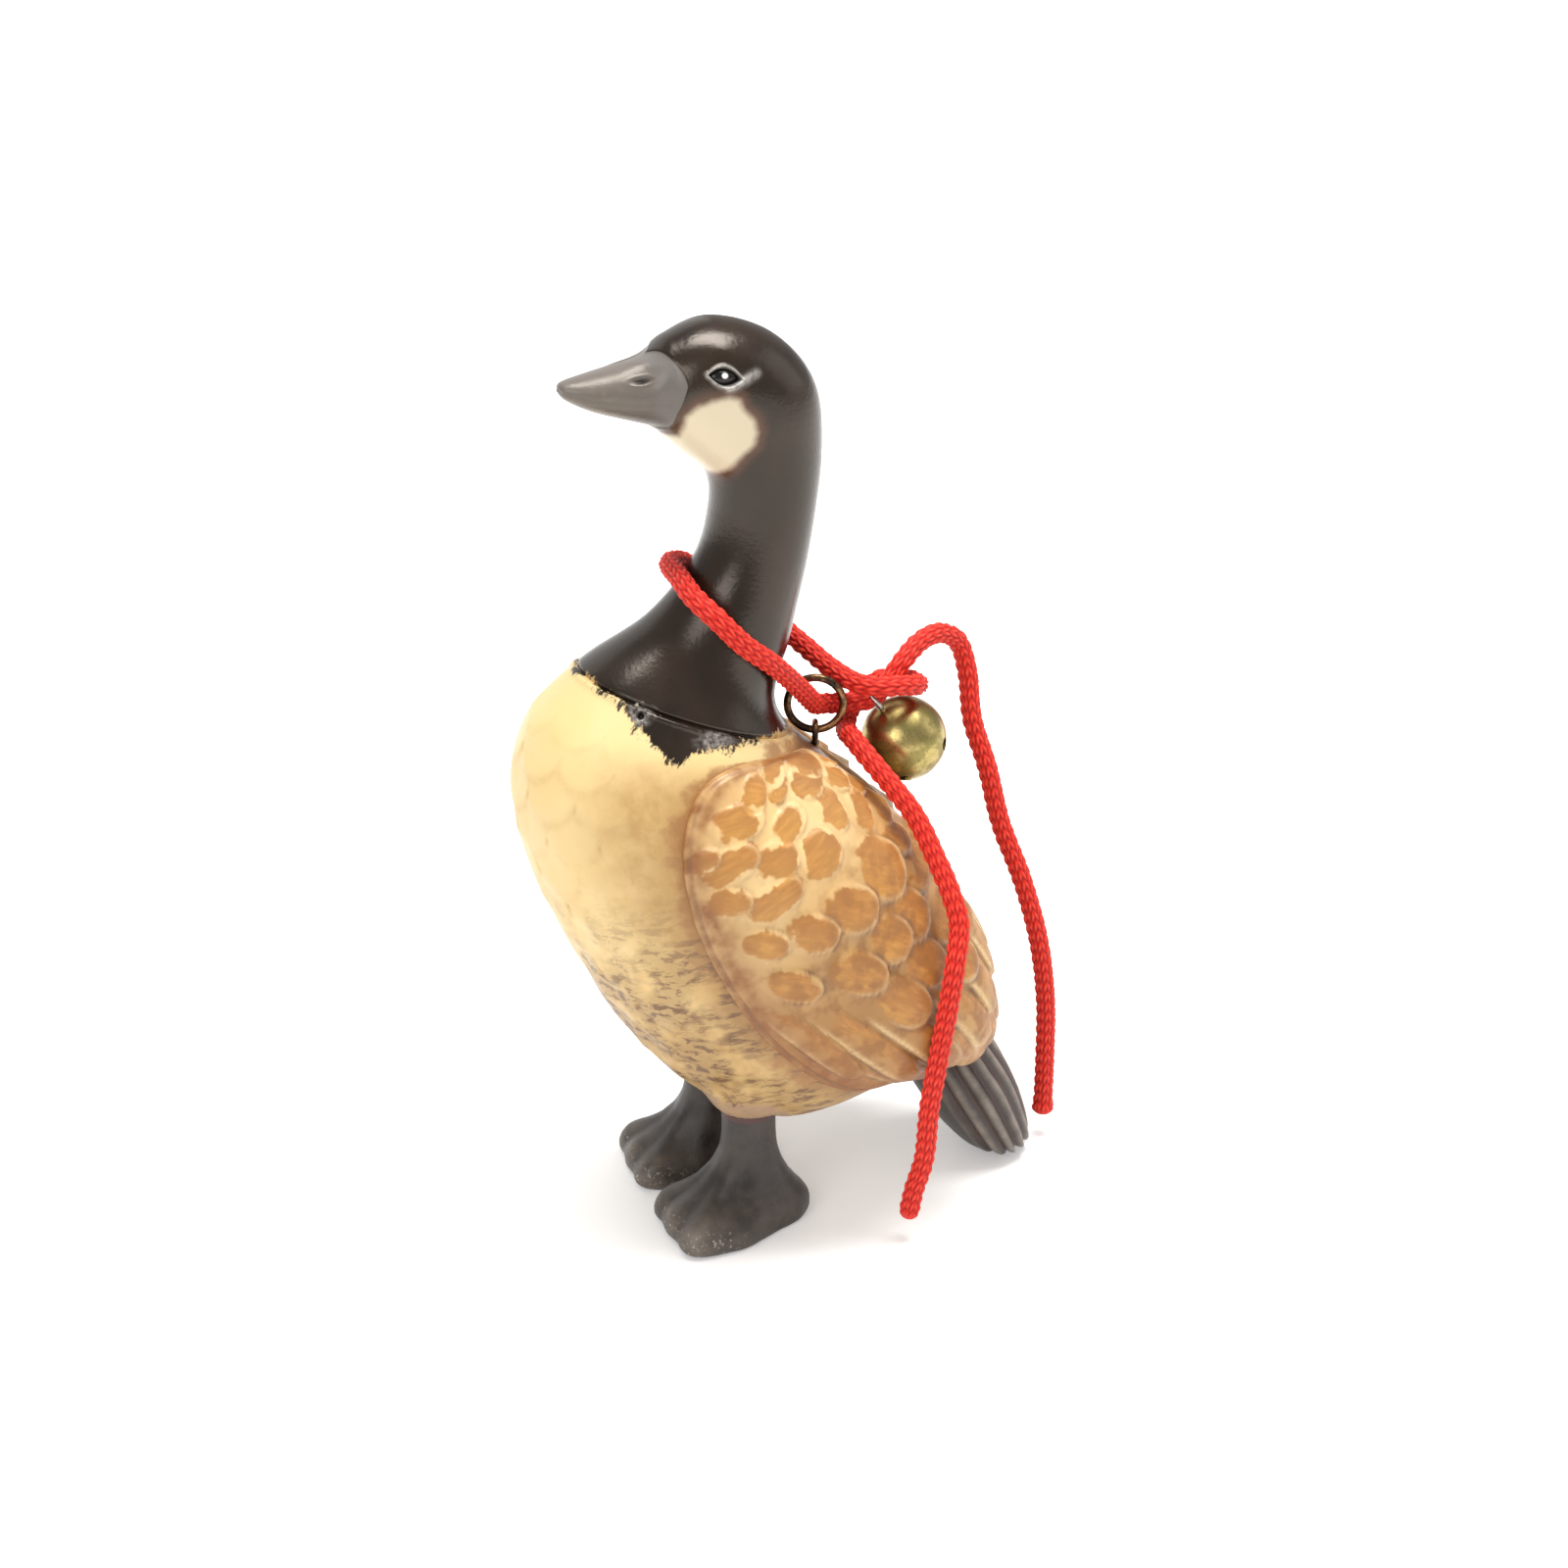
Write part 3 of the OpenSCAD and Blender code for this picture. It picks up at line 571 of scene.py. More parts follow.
def tarnished_metal(name, bright, dull, spots, grain_mm, low_rough, high_rough):
    """A thin metal part, drawn or stamped, with a handled surface: dull patches over bright ones,
    fine pits and rough tarnish."""
    material, tree, shader = new_material(name)
    place = node(tree, "TexCoord", out=3)
    patches = node(tree, "TexNoise", {"Vector": place, "Scale": size(grain_mm * 7), "Detail": 4,
                                      "Roughness": 0.6})
    pits = node(tree, "TexNoise", {"Vector": place, "Scale": size(grain_mm), "Detail": 3})
    cover = node(tree, "MapRange", {0: patches, 1: 0.42, 2: 0.6}, interpolation_type="SMOOTHSTEP")
    pitted = node(tree, "MapRange", {0: pits, 1: 0.56, 2: 0.68, 4: 0.6})
    base = colour(bright)
    for share, tone in ((cover, dull), (pitted, spots)):
        base = node(tree, "Mix", {0: share, 6: base, 7: colour(tone)}, **COLOURS)
    rough = node(tree, "MapRange", {0: cover, 3: low_rough, 4: high_rough})
    finish_surface(tree, shader, base, rough, pits, 0.00001, Metallic=1.0)
    return material


def plain_floor():
    """Matt white paper sweep. It adds a little white to what the camera and reflections see of
    it, so that it stays pale and keeps the goose's shadow."""
    material, tree, shader = new_material("white_paper_sweep")
    shader.inputs["Base Color"].default_value = colour("#F2F1EF")
    shader.inputs["Roughness"].default_value = 0.95
    seen, reflected = (node(tree, "LightPath", out=k) for k in (0, 3))
    either = node(tree, "Math", {0: seen, 1: reflected}, operation="MAXIMUM")
    away = node(tree, "VectorMath", {0: node(tree, "TexCoord", out=3)}, out=1, operation="LENGTH")
    whiter = node(tree, "MapRange", {0: away, 1: 0.05, 2: 0.45, 3: 0.28, 4: 1.0})
    glow = node(tree, "Emission", {"Color": (1, 1, 1, 1), "Strength": node(
        tree, "Math", {0: either, 1: whiter}, operation="MULTIPLY")})
    both = node(tree, "AddShader", {0: shader.outputs[0], 1: glow})
    output = next(n for n in tree.nodes if n.type == "OUTPUT_MATERIAL")
    tree.links.new(both, output.inputs["Surface"])
    return material


# ---------------------------------------------------------------- pieces
#
# Lengths, heights and widths in the formulas are in mm. U and R count the rows of a table, and T
# is the turn round the goose. A mark whose name ends in mm is a distance.

def make_stage(look):
    """The floor, the lamps, the world and the camera."""
    scene = bpy.context.scene
    turn, rise = look.turn, look.rise
    back = Vector((math.sin(turn) * math.cos(rise), -math.cos(turn) * math.cos(rise),
                   math.sin(rise)))
    target = Vector((0, 0, look.aim_height))
    camera = bpy.data.objects.new("camera", bpy.data.cameras.new("camera"))
    camera.data.lens = look.lens
    camera.data.sensor_width = 36
    camera.data.clip_start = 0.01
    camera.location = target + back * look.distance
    camera.rotation_euler = (-back).to_track_quat("-Z", "Y").to_euler()
    bpy.context.collection.objects.link(camera)
    scene.camera = camera

    side = 4.0
    mesh = bpy.data.meshes.new("floor")
    mesh.from_pydata([(-side, -side, 0), (side, -side, 0), (side, side, 0), (-side, side, 0)],
                     [], [(0, 1, 2, 3)])
    floor = bpy.data.objects.new("floor", mesh)
    bpy.context.collection.objects.link(floor)
    mesh.materials.append(plain_floor())

    # A long soft box overhead, a square one in front on the goose's left, a weak fill on its
    # right, and one behind: each one's place, width, length for its width, and watts.
    lamps = (("overhead", (0.016, 0.044, 0.6), 0.2, 2.3, 4.2),
             ("front", (0.42, -0.48, 0.4), 0.34, 1, 1.3),
             ("fill", (-0.5, -0.1, 0.3), 0.5, 1, 0.5),
             ("behind", (0.15, 0.6, 0.35), 0.4, 1, 0.45))
    lit = Vector((0, 0, 0.06))
    for name, spot, across, longer, power in lamps:
        lamp = bpy.data.objects.new(name, bpy.data.lights.new(name, "AREA"))
        lamp.data.shape = "RECTANGLE"
        lamp.data.size = across
        lamp.data.size_y = across * longer
        lamp.data.energy = power * look.light
        lamp.location = spot
        lamp.rotation_euler = (lit - Vector(spot)).to_track_quat("-Z", "Y").to_euler()
        bpy.context.collection.objects.link(lamp)

    world = bpy.data.worlds.new("studio")
    scene.world = world
    world.use_nodes = True
    tree = world.node_tree
    background = next(n for n in tree.nodes if n.type == "BACKGROUND")
    # White to the camera and through what is clear, and half as strong on everything else.
    seen, passed = (node(tree, "LightPath", out=k) for k in (0, 6))
    either = node(tree, "Math", {0: seen, 1: passed}, operation="MAXIMUM")
    background.inputs["Color"].default_value = (1, 1, 1, 1)
    tree.links.new(node(tree, "MapRange", {0: either, 3: 0.5, 4: 1.0}),
                   background.inputs["Strength"])
    scene.view_settings.view_transform = "Standard"


def way_marks(piece, key, values):
    """Gives every point of a piece a mark of three numbers."""
    marks = piece.data.attributes.new(key, "FLOAT_VECTOR", "POINT")
    marks.data.foreach_set("vector", values.ravel())


def along_route(route, step):
    """Points about a step apart on the Catmull-Rom curve through a route, and the distance run
    at each of them."""
    fine = rows_at(route, np.linspace(0, len(route) - 1, 40 * len(route)))
    run = np.concatenate([[0], np.cumsum(np.linalg.norm(np.diff(fine, axis=0), axis=1))])
    at = np.linspace(0, run[-1], int(run[-1] / step) + 1)
    return np.stack([np.interp(at, run, fine[:, k]) for k in range(3)], -1), at


def make_cord(name, route, sizes, material, node_name, flare):
    """A round knitted cord: a circle carried along the route without twist. Its radius dips
    between the columns of stitches and along each column's middle, and swells on the slanting
    legs of the stitches, which meet in a V: the swell is a cosine of (distance / stitch length
    - lean × distance from the column's middle)."""
    step, around, depth, lean = 0.16, 64, 0.3, 1.24
    centres, run = along_route(route, step)
    # The two lengths are one cord: both begin at the middle of the ring.
    first = np.array(CORD_EXIT) / MM
    run = np.append(0, run + np.linalg.norm(centres[0] - first))
    centres = np.concatenate([first[None], centres])
    way = np.gradient(centres, axis=0)
    way /= np.linalg.norm(way, axis=1, keepdims=True)
    across = np.zeros_like(way)
    across[0] = np.cross(way[0], (1, 0, 0))
    across[0] /= np.linalg.norm(across[0])
    for k in range(1, len(way)):
        carried = across[k - 1] - way[k] * (across[k - 1] @ way[k])
        across[k] = carried / np.linalg.norm(carried)
    up = np.cross(way, across)
    turns = np.linspace(0, 1, around, endpoint=False)
    at = turns * sizes.cord_columns + 0.25
    column = at % 1 - 0.5
    pitch = sizes.stitch / MM
    along = run[:, None] / pitch - lean * np.abs(column)[None]
    phase = along + 0.5 * (np.floor(at) % 2)[None]
    swell = (0.5 + 0.5 * np.cos(2 * np.pi * phase)) ** 0.8
    between = smooth(0.5, 0.3, np.abs(column))
    middle = smooth(0.0, 0.16, np.abs(column))
    crest = (0.25 + 0.75 * swell) * (0.35 + 0.65 * between[None]) * (0.55 + 0.45 * middle[None])
    # The last 1.5 mm is melted smooth and rounded over, and a flared end swells just before.
    left = run[-1] - run
    melted = np.broadcast_to(smooth(1.5, 0.2, left)[:, None], crest.shape)
    crest = crest * (1 - melted) + 0.75 * melted
    radius = sizes.cord / MM / 2
    closing = np.sqrt(np.clip(1 - np.clip(1 - left / (0.8 * radius), 0, 1) ** 2, 0.02, 1))
    widening = 1 + flare * hump(left - 0.8, 1.0)
    reach = (radius - depth * (1 - crest)) * (closing * widening)[:, None]
    flat = 0 * reach
    reach = reach + 0.02 * waves(np.stack([run[:, None] + flat, turns * 6 + flat, flat], -1), 3, 5)
    angle = turns * 2 * np.pi
    points = centres[:, None] + reach[..., None] * (
        across[:, None] * np.cos(angle)[None, :, None] + up[:, None] * np.sin(angle)[None, :, None])
    # The crest mark also paints the yarn: painted shade between the stitches and a painted
    # highlight on them.
    piece = skin(name, points, material, "goose", {"crest": crest, "melted": melted * 0.6})
    # The filaments follow the legs of the stitches: nine to the mm across them, long along them.
    thread = np.stack([along * pitch * 9, run[:, None] * np.sign(column) * 0.8 + column * 1.5,
                       flat], -1).reshape(-1, 3)
    way_marks(piece, "thread", np.concatenate([thread, thread[:1], thread[-1:]]))
    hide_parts(node_name)
    return piece


def folded_degrees(turn):
    """A turn in degrees from the back, 0 to 180, the same on both sides of the goose."""
    return np.degrees(np.minimum(turn, 2 * np.pi - turn))


def edge_at(table, turn):
    """An edge table read at a turn, the same on both sides of the goose."""
    return np.interp(folded_degrees(turn), table[:, 0], table[:, 1])


def mirrored(points):
    """The points with their sides folded onto +X."""
    folded = points.copy()
    folded[..., 0] = np.abs(folded[..., 0])
    return folded


def make_body(material):
    """The body casting: the goose's loft from the tail to the neck joint. Overlapping discs of
    breast feathers, the joint's lip and the vent's crater lift or sink it along its normal."""
    place = spaced(0, NECK_JOINT, 212, (9.95, 0.4, 2.2))
    turn = spaced(0, 2 * np.pi, 401, (math.radians(128), 0.12, 1.2))[:-1]
    U, T = np.meshgrid(place, turn, indexing="ij")
    points = on_loft(GOOSE, U, T)
    normal = outward(points)
    per_place = steps(points, 0) / np.gradient(place)[:, None]
    around = steps(points, 1)
    front = np.argmin(np.abs(turn - np.pi))
    arc = np.cumsum(around, 1)
    arc -= arc[:, front:front + 1]
    run = np.cumsum(per_place[:, front] * np.gradient(place))[:, None]
    run = run + 0.9 * waves(points, 24, 3)
    arc = arc + 0.8 * waves(points, 21, 4)
    # Two rows of discs at a time: the row nearer the neck lies on top of the one below it.
    tall, broad = 4.6, 6.8
    level = np.floor(run / tall)
    scale = np.zeros_like(run)
    shade = np.zeros_like(run)
    for lower in (0, 1):
        row = level + lower
        shift = 0.5 * (row % 2)
        column = np.round(arc / broad - shift) + shift
        away = np.hypot((arc / broad - column) * 1.8, (row + 0.35 - run / tall) * 1.15)
        lies = smooth(1.0, 0.86, away)
        scale = scale * (1 - lies) + lies * (0.25 + 0.75 * away)
        # The shade mark is painted shade along each disc's edge.
        shade = np.maximum(shade * (1 - lies), hump(away - 1.0, 0.13))
    folded = folded_degrees(T)
    feathered = (smooth(95, 135, folded) * smooth(2.5, 5.5, U) * smooth(9.6, 8.8, U)
                 * (0.55 + 0.45 * waves(points, 17, 8)))
    # Feather discs 0.85 mm high and soft dents, then the joint's lip and groove, and last the
    # vent's pit and its rim.
    height = (0.85 * scale * feathered
              + 0.12 * waves(points, 13, 9) * smooth(0.5, 3, U) * smooth(9.5, 8, U))
    joint = (NECK_JOINT - U) * per_place
    lipped = 0.35 + 0.65 * smooth(0.9, 1.6, np.radians(folded))
    height += lipped * (0.24 * hump(joint - 0.55, 0.4)) - 0.34 * hump(joint, 0.26)
    vent = np.linalg.norm(points - VENT, axis=-1)
    near = np.min(vent)
    vent = np.sqrt(np.maximum(vent ** 2 - near ** 2, 0))
    height += -0.8 * np.exp(-(vent / 0.42) ** 4) + 0.09 * hump(vent - 1.0, 0.5)
    points = points + normal * height[..., None]
    # A thigh comes down to each leg: its underside is flat, THIGH_FOOT up.
    from_leg = np.hypot(np.abs(points[..., 0]) - LEG_SIDE, points[..., 1] - LEG_FORE)
    drop, ceiling = 6, 24
    droop = np.clip(points[..., 2] - THIGH_FOOT, 0, drop) * smooth(5.8, 3.5, from_leg)
    points[..., 2] -= droop * (points[..., 2] < ceiling)
    edge = (edge_at(PAINT_EDGE, T) - U) * per_place
    low = np.interp(U, WING[::-1, 0], WING[::-1, 1])
    high = np.interp(U, WING[::-1, 0], WING[::-1, 2])
    per_degree = around / np.degrees(np.gradient(turn))[None]
    # How far a point lies outside the wing's border, in mm.
    wing = np.maximum((folded - low) * per_degree, (U - 9.35) * per_place)
    smears = np.maximum(smooth(1.7, 0.6, vent), smooth(1.6, 0.4, np.linalg.norm(
        (points - (10.8, -12.2, 64.3)) * (1, 0.5, 1), axis=-1)))
    # back is painted shade in the valley between the wings, the scallop mark painted shade along
    # the feather discs' edges, and pit painted shade in the vent.
    marks = {
        "dark_mm": -edge, "wing_mm": wing, "joint_mm": joint, "smear": smears,
        "flank": np.maximum(smooth(148, 112, folded) * smooth(9.6, 8.4, U),
                            0.9 * smooth(7.2, 5.4, U)),
        "back": smooth(2.5, -1.5, (folded - high) * per_degree) * smooth(9.9, 9.2, U),
        "belly": smooth(7.6, 6.0, U) * smooth(70, 100, folded) * smooth(0.3, 1.5, U),
        "leg_mm": np.where(points[..., 2] < THIGH_FOOT + 3, from_leg - LEG_RADIUS, FAR),
        "pit": np.exp(-(vent / 0.4) ** 4), "scallop_shade": shade * feathered,
        "cheek_mm": -FAR, "bill_mm": -FAR, "lid": 0}
    piece = skin("painted_body", points, material, "goose", marks)
    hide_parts("body_casting")


def make_neck_and_head(material, eye_material):
    """The neck and head casting: the goose's loft from the joint to the bill tip. Ridges for the
    lids, and hollows for the eyes, nostrils, mouth line and joint, follow distances in mm."""
    look_at = math.radians(78)
    place = spaced(NECK_JOINT, BILL_TIP, 322, (10.0, 0.12, 2.5), (16.5, 0.9, 1.4), (19.0, 0.5, 0.6))
    turn = spaced(0, 2 * np.pi, 281, (look_at, 0.35, 0.9), (2 * np.pi - look_at, 0.35, 0.9))[:-1]
    U, T = np.meshgrid(place, turn, indexing="ij")
    points = on_loft(GOOSE, U, T)
    normal = outward(points)
    per_place = steps(points, 0) / np.gradient(place)[:, None]
    side = mirrored(points)
    level = np.array([0.0, 0.995, -0.1])
    from_eye = side - EYE
    a = from_eye @ level
    b = from_eye @ np.array([-0.25, 0.1, 0.96]) + 0.12 * a
    # The opening between the lids is 3.6 mm long, and each lid's edge is a parabola.
    half = 1.8
    lid_line = np.where(b > 0, 0.98, 0.92) * np.clip(1 - (a / half) ** 2, 0, 1)
    opening = np.where(np.abs(a) < half, np.abs(b) - lid_line, np.hypot(np.abs(a) - half, b))
    outer = np.abs(side[..., 0]) > 3
    lids = hump(opening - 0.17, 0.2) * smooth(2.6, 1.8, np.abs(a)) * outer
    # A straight ridge runs back and up from the lower lid.
    start, way = np.array([0.5, -1.1]), np.array([3.1, 2.0])
    away = np.stack([a, b], -1) - start
    along = np.clip(away @ way / (way @ way), 0, 1)
    crease = np.linalg.norm(away - along[..., None] * way, axis=-1)
    ridge = hump(crease, 0.42) * outer * (1 - 0.45 * along)
    socket = smooth(0.08, -0.3, opening) * outer
    brow = hump(np.hypot(a * 0.5, b - 2.6), 1.1) * outer
    bill = (U - edge_at(BILL_EDGE, T)) * per_place
    nose_a = (side - NOSTRIL) @ np.array([0.1, 0.99, 0.02])
    nose_b = (side - NOSTRIL) @ np.array([-0.45, 0, 0.9])
    slit = np.hypot(nose_a, nose_b / 0.38) + np.where(side[..., 0] > 1, 0, FAR)
    folded = folded_degrees(T)
    mouth_at = np.interp(U, [17.3, 19.4, 21, 22], [112, 104, 96, 88])
    mouth = hump((folded - mouth_at) * steps(points, 1) / np.degrees(np.gradient(turn))[None], 0.3)
    mouth *= smooth(0.3, 1.2, bill) * smooth(22, 21.4, U)
    joint = (U - NECK_JOINT) * per_place
    # Lids, ridge, eye socket and brow, the step down to the bill, the nostril with its rims, the
    # mouth, the joint's groove, and soft dents.
    height = (0.34 * lids + 0.32 * ridge - 0.5 * socket + 0.12 * brow
              - 0.14 * smooth(-0.25, 0.35, bill)
              - 0.4 * hump(slit, 0.85) + 0.05 * hump(slit - 1.5, 0.4) - 0.07 * mouth
              + 0.12 * hump(np.hypot(nose_a, nose_b + 0.2) - 2.2, 0.9) * (side[..., 0] > 1)
              - 0.36 * hump(joint, 0.24) + 0.05 * waves(points, 11, 21) * smooth(10, 11, U))
    points = points + normal * height[..., None]
    edge = (U - edge_at(PAINT_EDGE, T)) * per_place
    cheek = edge_distance(points[..., 1], points[..., 2], CHEEK)
    pits = np.exp(-(slit / 0.85) ** 4) + smooth(0.12, -0.25, opening) * outer + 0.06 * mouth
    # Here back is painted shade behind the joint, lid a painted highlight on the lids and the ridge
    # behind the eye, and pit painted shade in the nostrils, the eye openings and the mouth line.
    marks = {
        "dark_mm": edge, "joint_mm": joint, "back": smooth(40, 10, folded) * smooth(11, 10.2, U),
        "cheek_mm": np.where((U > 13) & (U < 19), cheek, -FAR), "bill_mm": bill,
        "lid": np.clip(lids * 0.85 + ridge, 0, 1), "pit": np.clip(pits, 0, 1),
        "wing_mm": FAR, "leg_mm": FAR, "flank": 1, "belly": 0, "smear": 0, "scallop_shade": 0}
    piece = skin("painted_neck_and_head", points, material, "goose", marks)
    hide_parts("neck_and_head")
    # Each eye is an oval bead: x, y and z are three half axes times the unit sphere's.
    lat, lon = np.meshgrid(np.linspace(0.02, np.pi - 0.02, 48),
                           np.linspace(0, 2 * np.pi, 64, endpoint=False), indexing="ij")
    ball = np.stack([np.cos(lat), np.sin(lat) * np.cos(lon), np.sin(lat) * np.sin(lon)], -1)
    lean = np.array([[0.96, 0.03, -0.25], [-0.03, 0.995, 0.09], [0.25, -0.09, 0.96]])
    bead = ball * (1.0, 1.75, 1.02) @ lean.T + EYE - (0.78, 0, 0.18)
    dot = smooth(0.43, 0.31, np.linalg.norm(bead - EYE - (0.28, -0.05, 0.28), axis=-1))
    for name, way in (("left_eye", 1), ("right_eye", -1)):
        skin(name, bead * (way, 1, 1), eye_material, "goose", {"dot": dot})


def make_wing(name, way, material):
    """A wing: the goose's loft between the wing's low and high edges, lifted so that its border
    falls away, with every feather laid on as a rounded pad that is highest at its rear edge. Its
    inner face lies under the body's skin."""
    tip = len(WING) - 1
    rows = spaced(0, tip, 268, (9.3, 0.8, 0.7))
    outer = np.linspace(0, 1, 190)
    inner = np.linspace(1, 0, 28)[1:-1]
    R, V = np.meshgrid(rows, outer, indexing="ij")
    table = rows_at(WING, R)
    ends = 0.5 * (1 - np.abs(np.sin(np.pi * (3.4 * V + 0.1))) ** 0.7) * smooth(7.6, tip, R)
    U = table[..., 0] + ends
    low, high = np.radians(table[..., 1]), np.radians(table[..., 2])
    T = high + (low - high) * V
    falls = np.sqrt(np.maximum(0, 1 - (2 * V - 1) ** 8)) * (1 - (2 * R / tip - 1) ** 12)
    lift = WING_RIM + (WING_LIFT - WING_RIM) * falls
    points = on_loft(GOOSE, U, T, lift)
    along = np.gradient(points, axis=0)
    around = np.gradient(points, axis=1)
    normal = np.cross(along, around)
    normal /= np.linalg.norm(normal, axis=-1, keepdims=True) + 1e-12
    normal *= np.sign(np.sum(normal * (points - (0, 0, 35)), axis=(0, 1, 2)) + 1e-9)
    from_low = np.cumsum(steps(points, 1)[:, ::-1], 1)[:, ::-1]
    from_high = np.cumsum(steps(points, 1), 1)
    from_front = np.cumsum(steps(points, 0), 0)
    height, tone, groove, pale = (np.zeros_like(R) for _ in range(4))
    dab = np.full_like(R, -2.0)
    brush = points / 2
    # Quills go on first and lie lowest, then the dabs from the wing tip to the shoulder.
    laid = [(one, True) for one in QUILLS[::-1]] + [(one, False) for one in sorted(DABS)]
    for (place, turned, half_long, half_wide, tilt, brown), quill in laid:
        at = on_loft(GOOSE, np.array(place), np.radians(turned), WING_LIFT)
        spot = np.unravel_index(np.argmin(np.sum((points - at) ** 2, -1)), R.shape)
        facing = normal[spot]
        slope = np.array([0, math.cos(math.radians(tilt)), -math.sin(math.radians(tilt))])
        slope -= facing * (slope @ facing)
        slope /= np.linalg.norm(slope)
        cross = np.cross(facing, slope)
        # A dab is larger than its table says. The outline is blunter than an ellipse, and a
        # quill's is blunter still.
        larger, blunt, crown = (1.0, 2.6, 0.16) if quill else (1.18, 2.2, 0.12)
        p = (points - at) @ slope / (half_long * larger)
        q = (points - at) @ cross / (half_wide * larger)
        deep = np.abs((points - at) @ facing) < 5
        ahead = np.maximum(p, 0) if quill else np.abs(p)
        r = (ahead ** blunt + np.abs(q) ** blunt) ** (1 / blunt)
        r = np.where(deep & (p > -1.3), r, FAR)
        cover = smooth(1.22, 1.0, r) * (smooth(-1.15, -0.6, p) if quill else 1)
        low_down = smooth(7.2, 5.0, place)
        top = (0.12 + 0.36 * smooth(-1, 1, p)) * (0.9 + 0.6 * low_down) + crown * (1 - q ** 2)
        height = height * (1 - cover) + cover * top
        inside = (1 - r) * min(half_long, half_wide)
        body = r < 1.25
        if quill:
            # A quill is dark on its upper side, and fades out under the feathers ahead.
            inside = np.minimum(0.1 + 0.5 * q * half_wide, (p + 0.8) * 0.5 * half_long)
            inside = np.where(r > 1, -1, inside)
        dab = np.where(body, np.maximum(np.where(r < 1.1, inside, dab), inside), dab)
        tone = np.where(body, brown + 0.3 * q + 0.35 * smooth(0.1, 0.9, p), tone)
        rear = smooth(-0.3, 0.5, p)
        groove = np.where(body, 0, groove)
        pale = np.where(body, 0, pale)
        if quill:
            # A painted highlight on a ridge, with a line of painted shade beside it, runs along a
            # quill's lower side only.
            length = deep * smooth(-1.1, -0.6, p) * smooth(1.1, 0.85, p)
            pale = np.maximum(pale, hump(q + 0.84, 0.2) * length)
            groove = np.maximum(groove, hump((q + 1.13) * half_wide, 0.2) * length)
        else:
            # A dab's rear rim gets a painted highlight just inside it and a line of painted shade
            # just outside.
            line = hump((r - 1.18) * half_wide, 0.2) * (0.25 + 0.7 * low_down)
            groove = np.maximum(groove, line * rear)
            pale = np.maximum(pale, 0.55 * hump(r - 1.04, 0.09) * rear)
        # Brush streaks 2.6 mm long and 0.7 mm wide, and others for each feather.
        strokes = np.stack([p * half_long / 2.6, q * half_wide / 0.7,
                            np.full_like(p, 7.3 * place + turned)], -1)
        brush = np.where((r < 1.15)[..., None], strokes, brush)
    # The border is a double ridge with a groove in it.
    border = hump(from_low - 0.55, 0.28) + 0.8 * hump(from_low - 1.75, 0.3)
    sunk = hump(from_low - 1.15, 0.22)
    on_side = (0.25 + 0.75 * smooth(2.2, 4.2, R)) * smooth(9.6, 8.2, R)
    height = height * smooth(1.6, 2.4, from_low) * smooth(0.3, 3.0, from_high)
    height += (0.16 * border - 0.18 * sunk) * on_side
    # Painted shade lies in the border's groove.
    groove = np.maximum(groove * smooth(1.8, 2.6, from_low),
                        0.85 * sunk * on_side * smooth(1.2, 3.5, R))
    height += 0.04 * waves(points, 6, 31)
    height *= smooth(tip, 9.6, R) * smooth(0, 0.4, R)
    face = points + normal * height[..., None]
    thick = np.minimum(1.2, 3 * (1 - np.abs(2 * rows / tip - 1)) + 0.12)
    inner_u, inner_t = (np.stack([np.interp(inner, outer, line) for line in values])
                        for values in (U, T))
    under = on_loft(GOOSE, inner_u, inner_t, -thick[:, None])
    ring = np.concatenate([face, under], 1)
    fore = (smooth(3.8, 0.8, np.minimum(from_low, from_front + 0.6)) * smooth(9.5, 7, R)
            + 0.6 * smooth(7.0, 2.0, from_low) * smooth(4.8, 1.6, R)
            + 0.35 * smooth(2.0, 0.3, from_high)
            + 0.75 * smooth(8.0, 2.0, from_low) * smooth(3.2, 4.4, R) * smooth(8.4, 6.5, R))
    # groove is painted shade together with the brown wash, and pale a painted highlight.
    marks = {"dab_mm": dab, "tone": tone, "groove": np.clip(groove, 0, 1),
             "low": smooth(7.6, 4.6, U + 0.25 * waves(points, 9, 51)),
             "fore": np.clip(fore, 0, 1), "pale": pale * (1 - sunk)}
    marks = {key: np.concatenate([value, np.zeros(under.shape[:2])], 1)
             for key, value in marks.items()}
    ring[..., 0] *= way
    piece = skin("painted_" + name, ring, material, "goose", marks, caps="flat")
    way_marks(piece, "brush", np.concatenate([brush, under], 1))
    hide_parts(name)


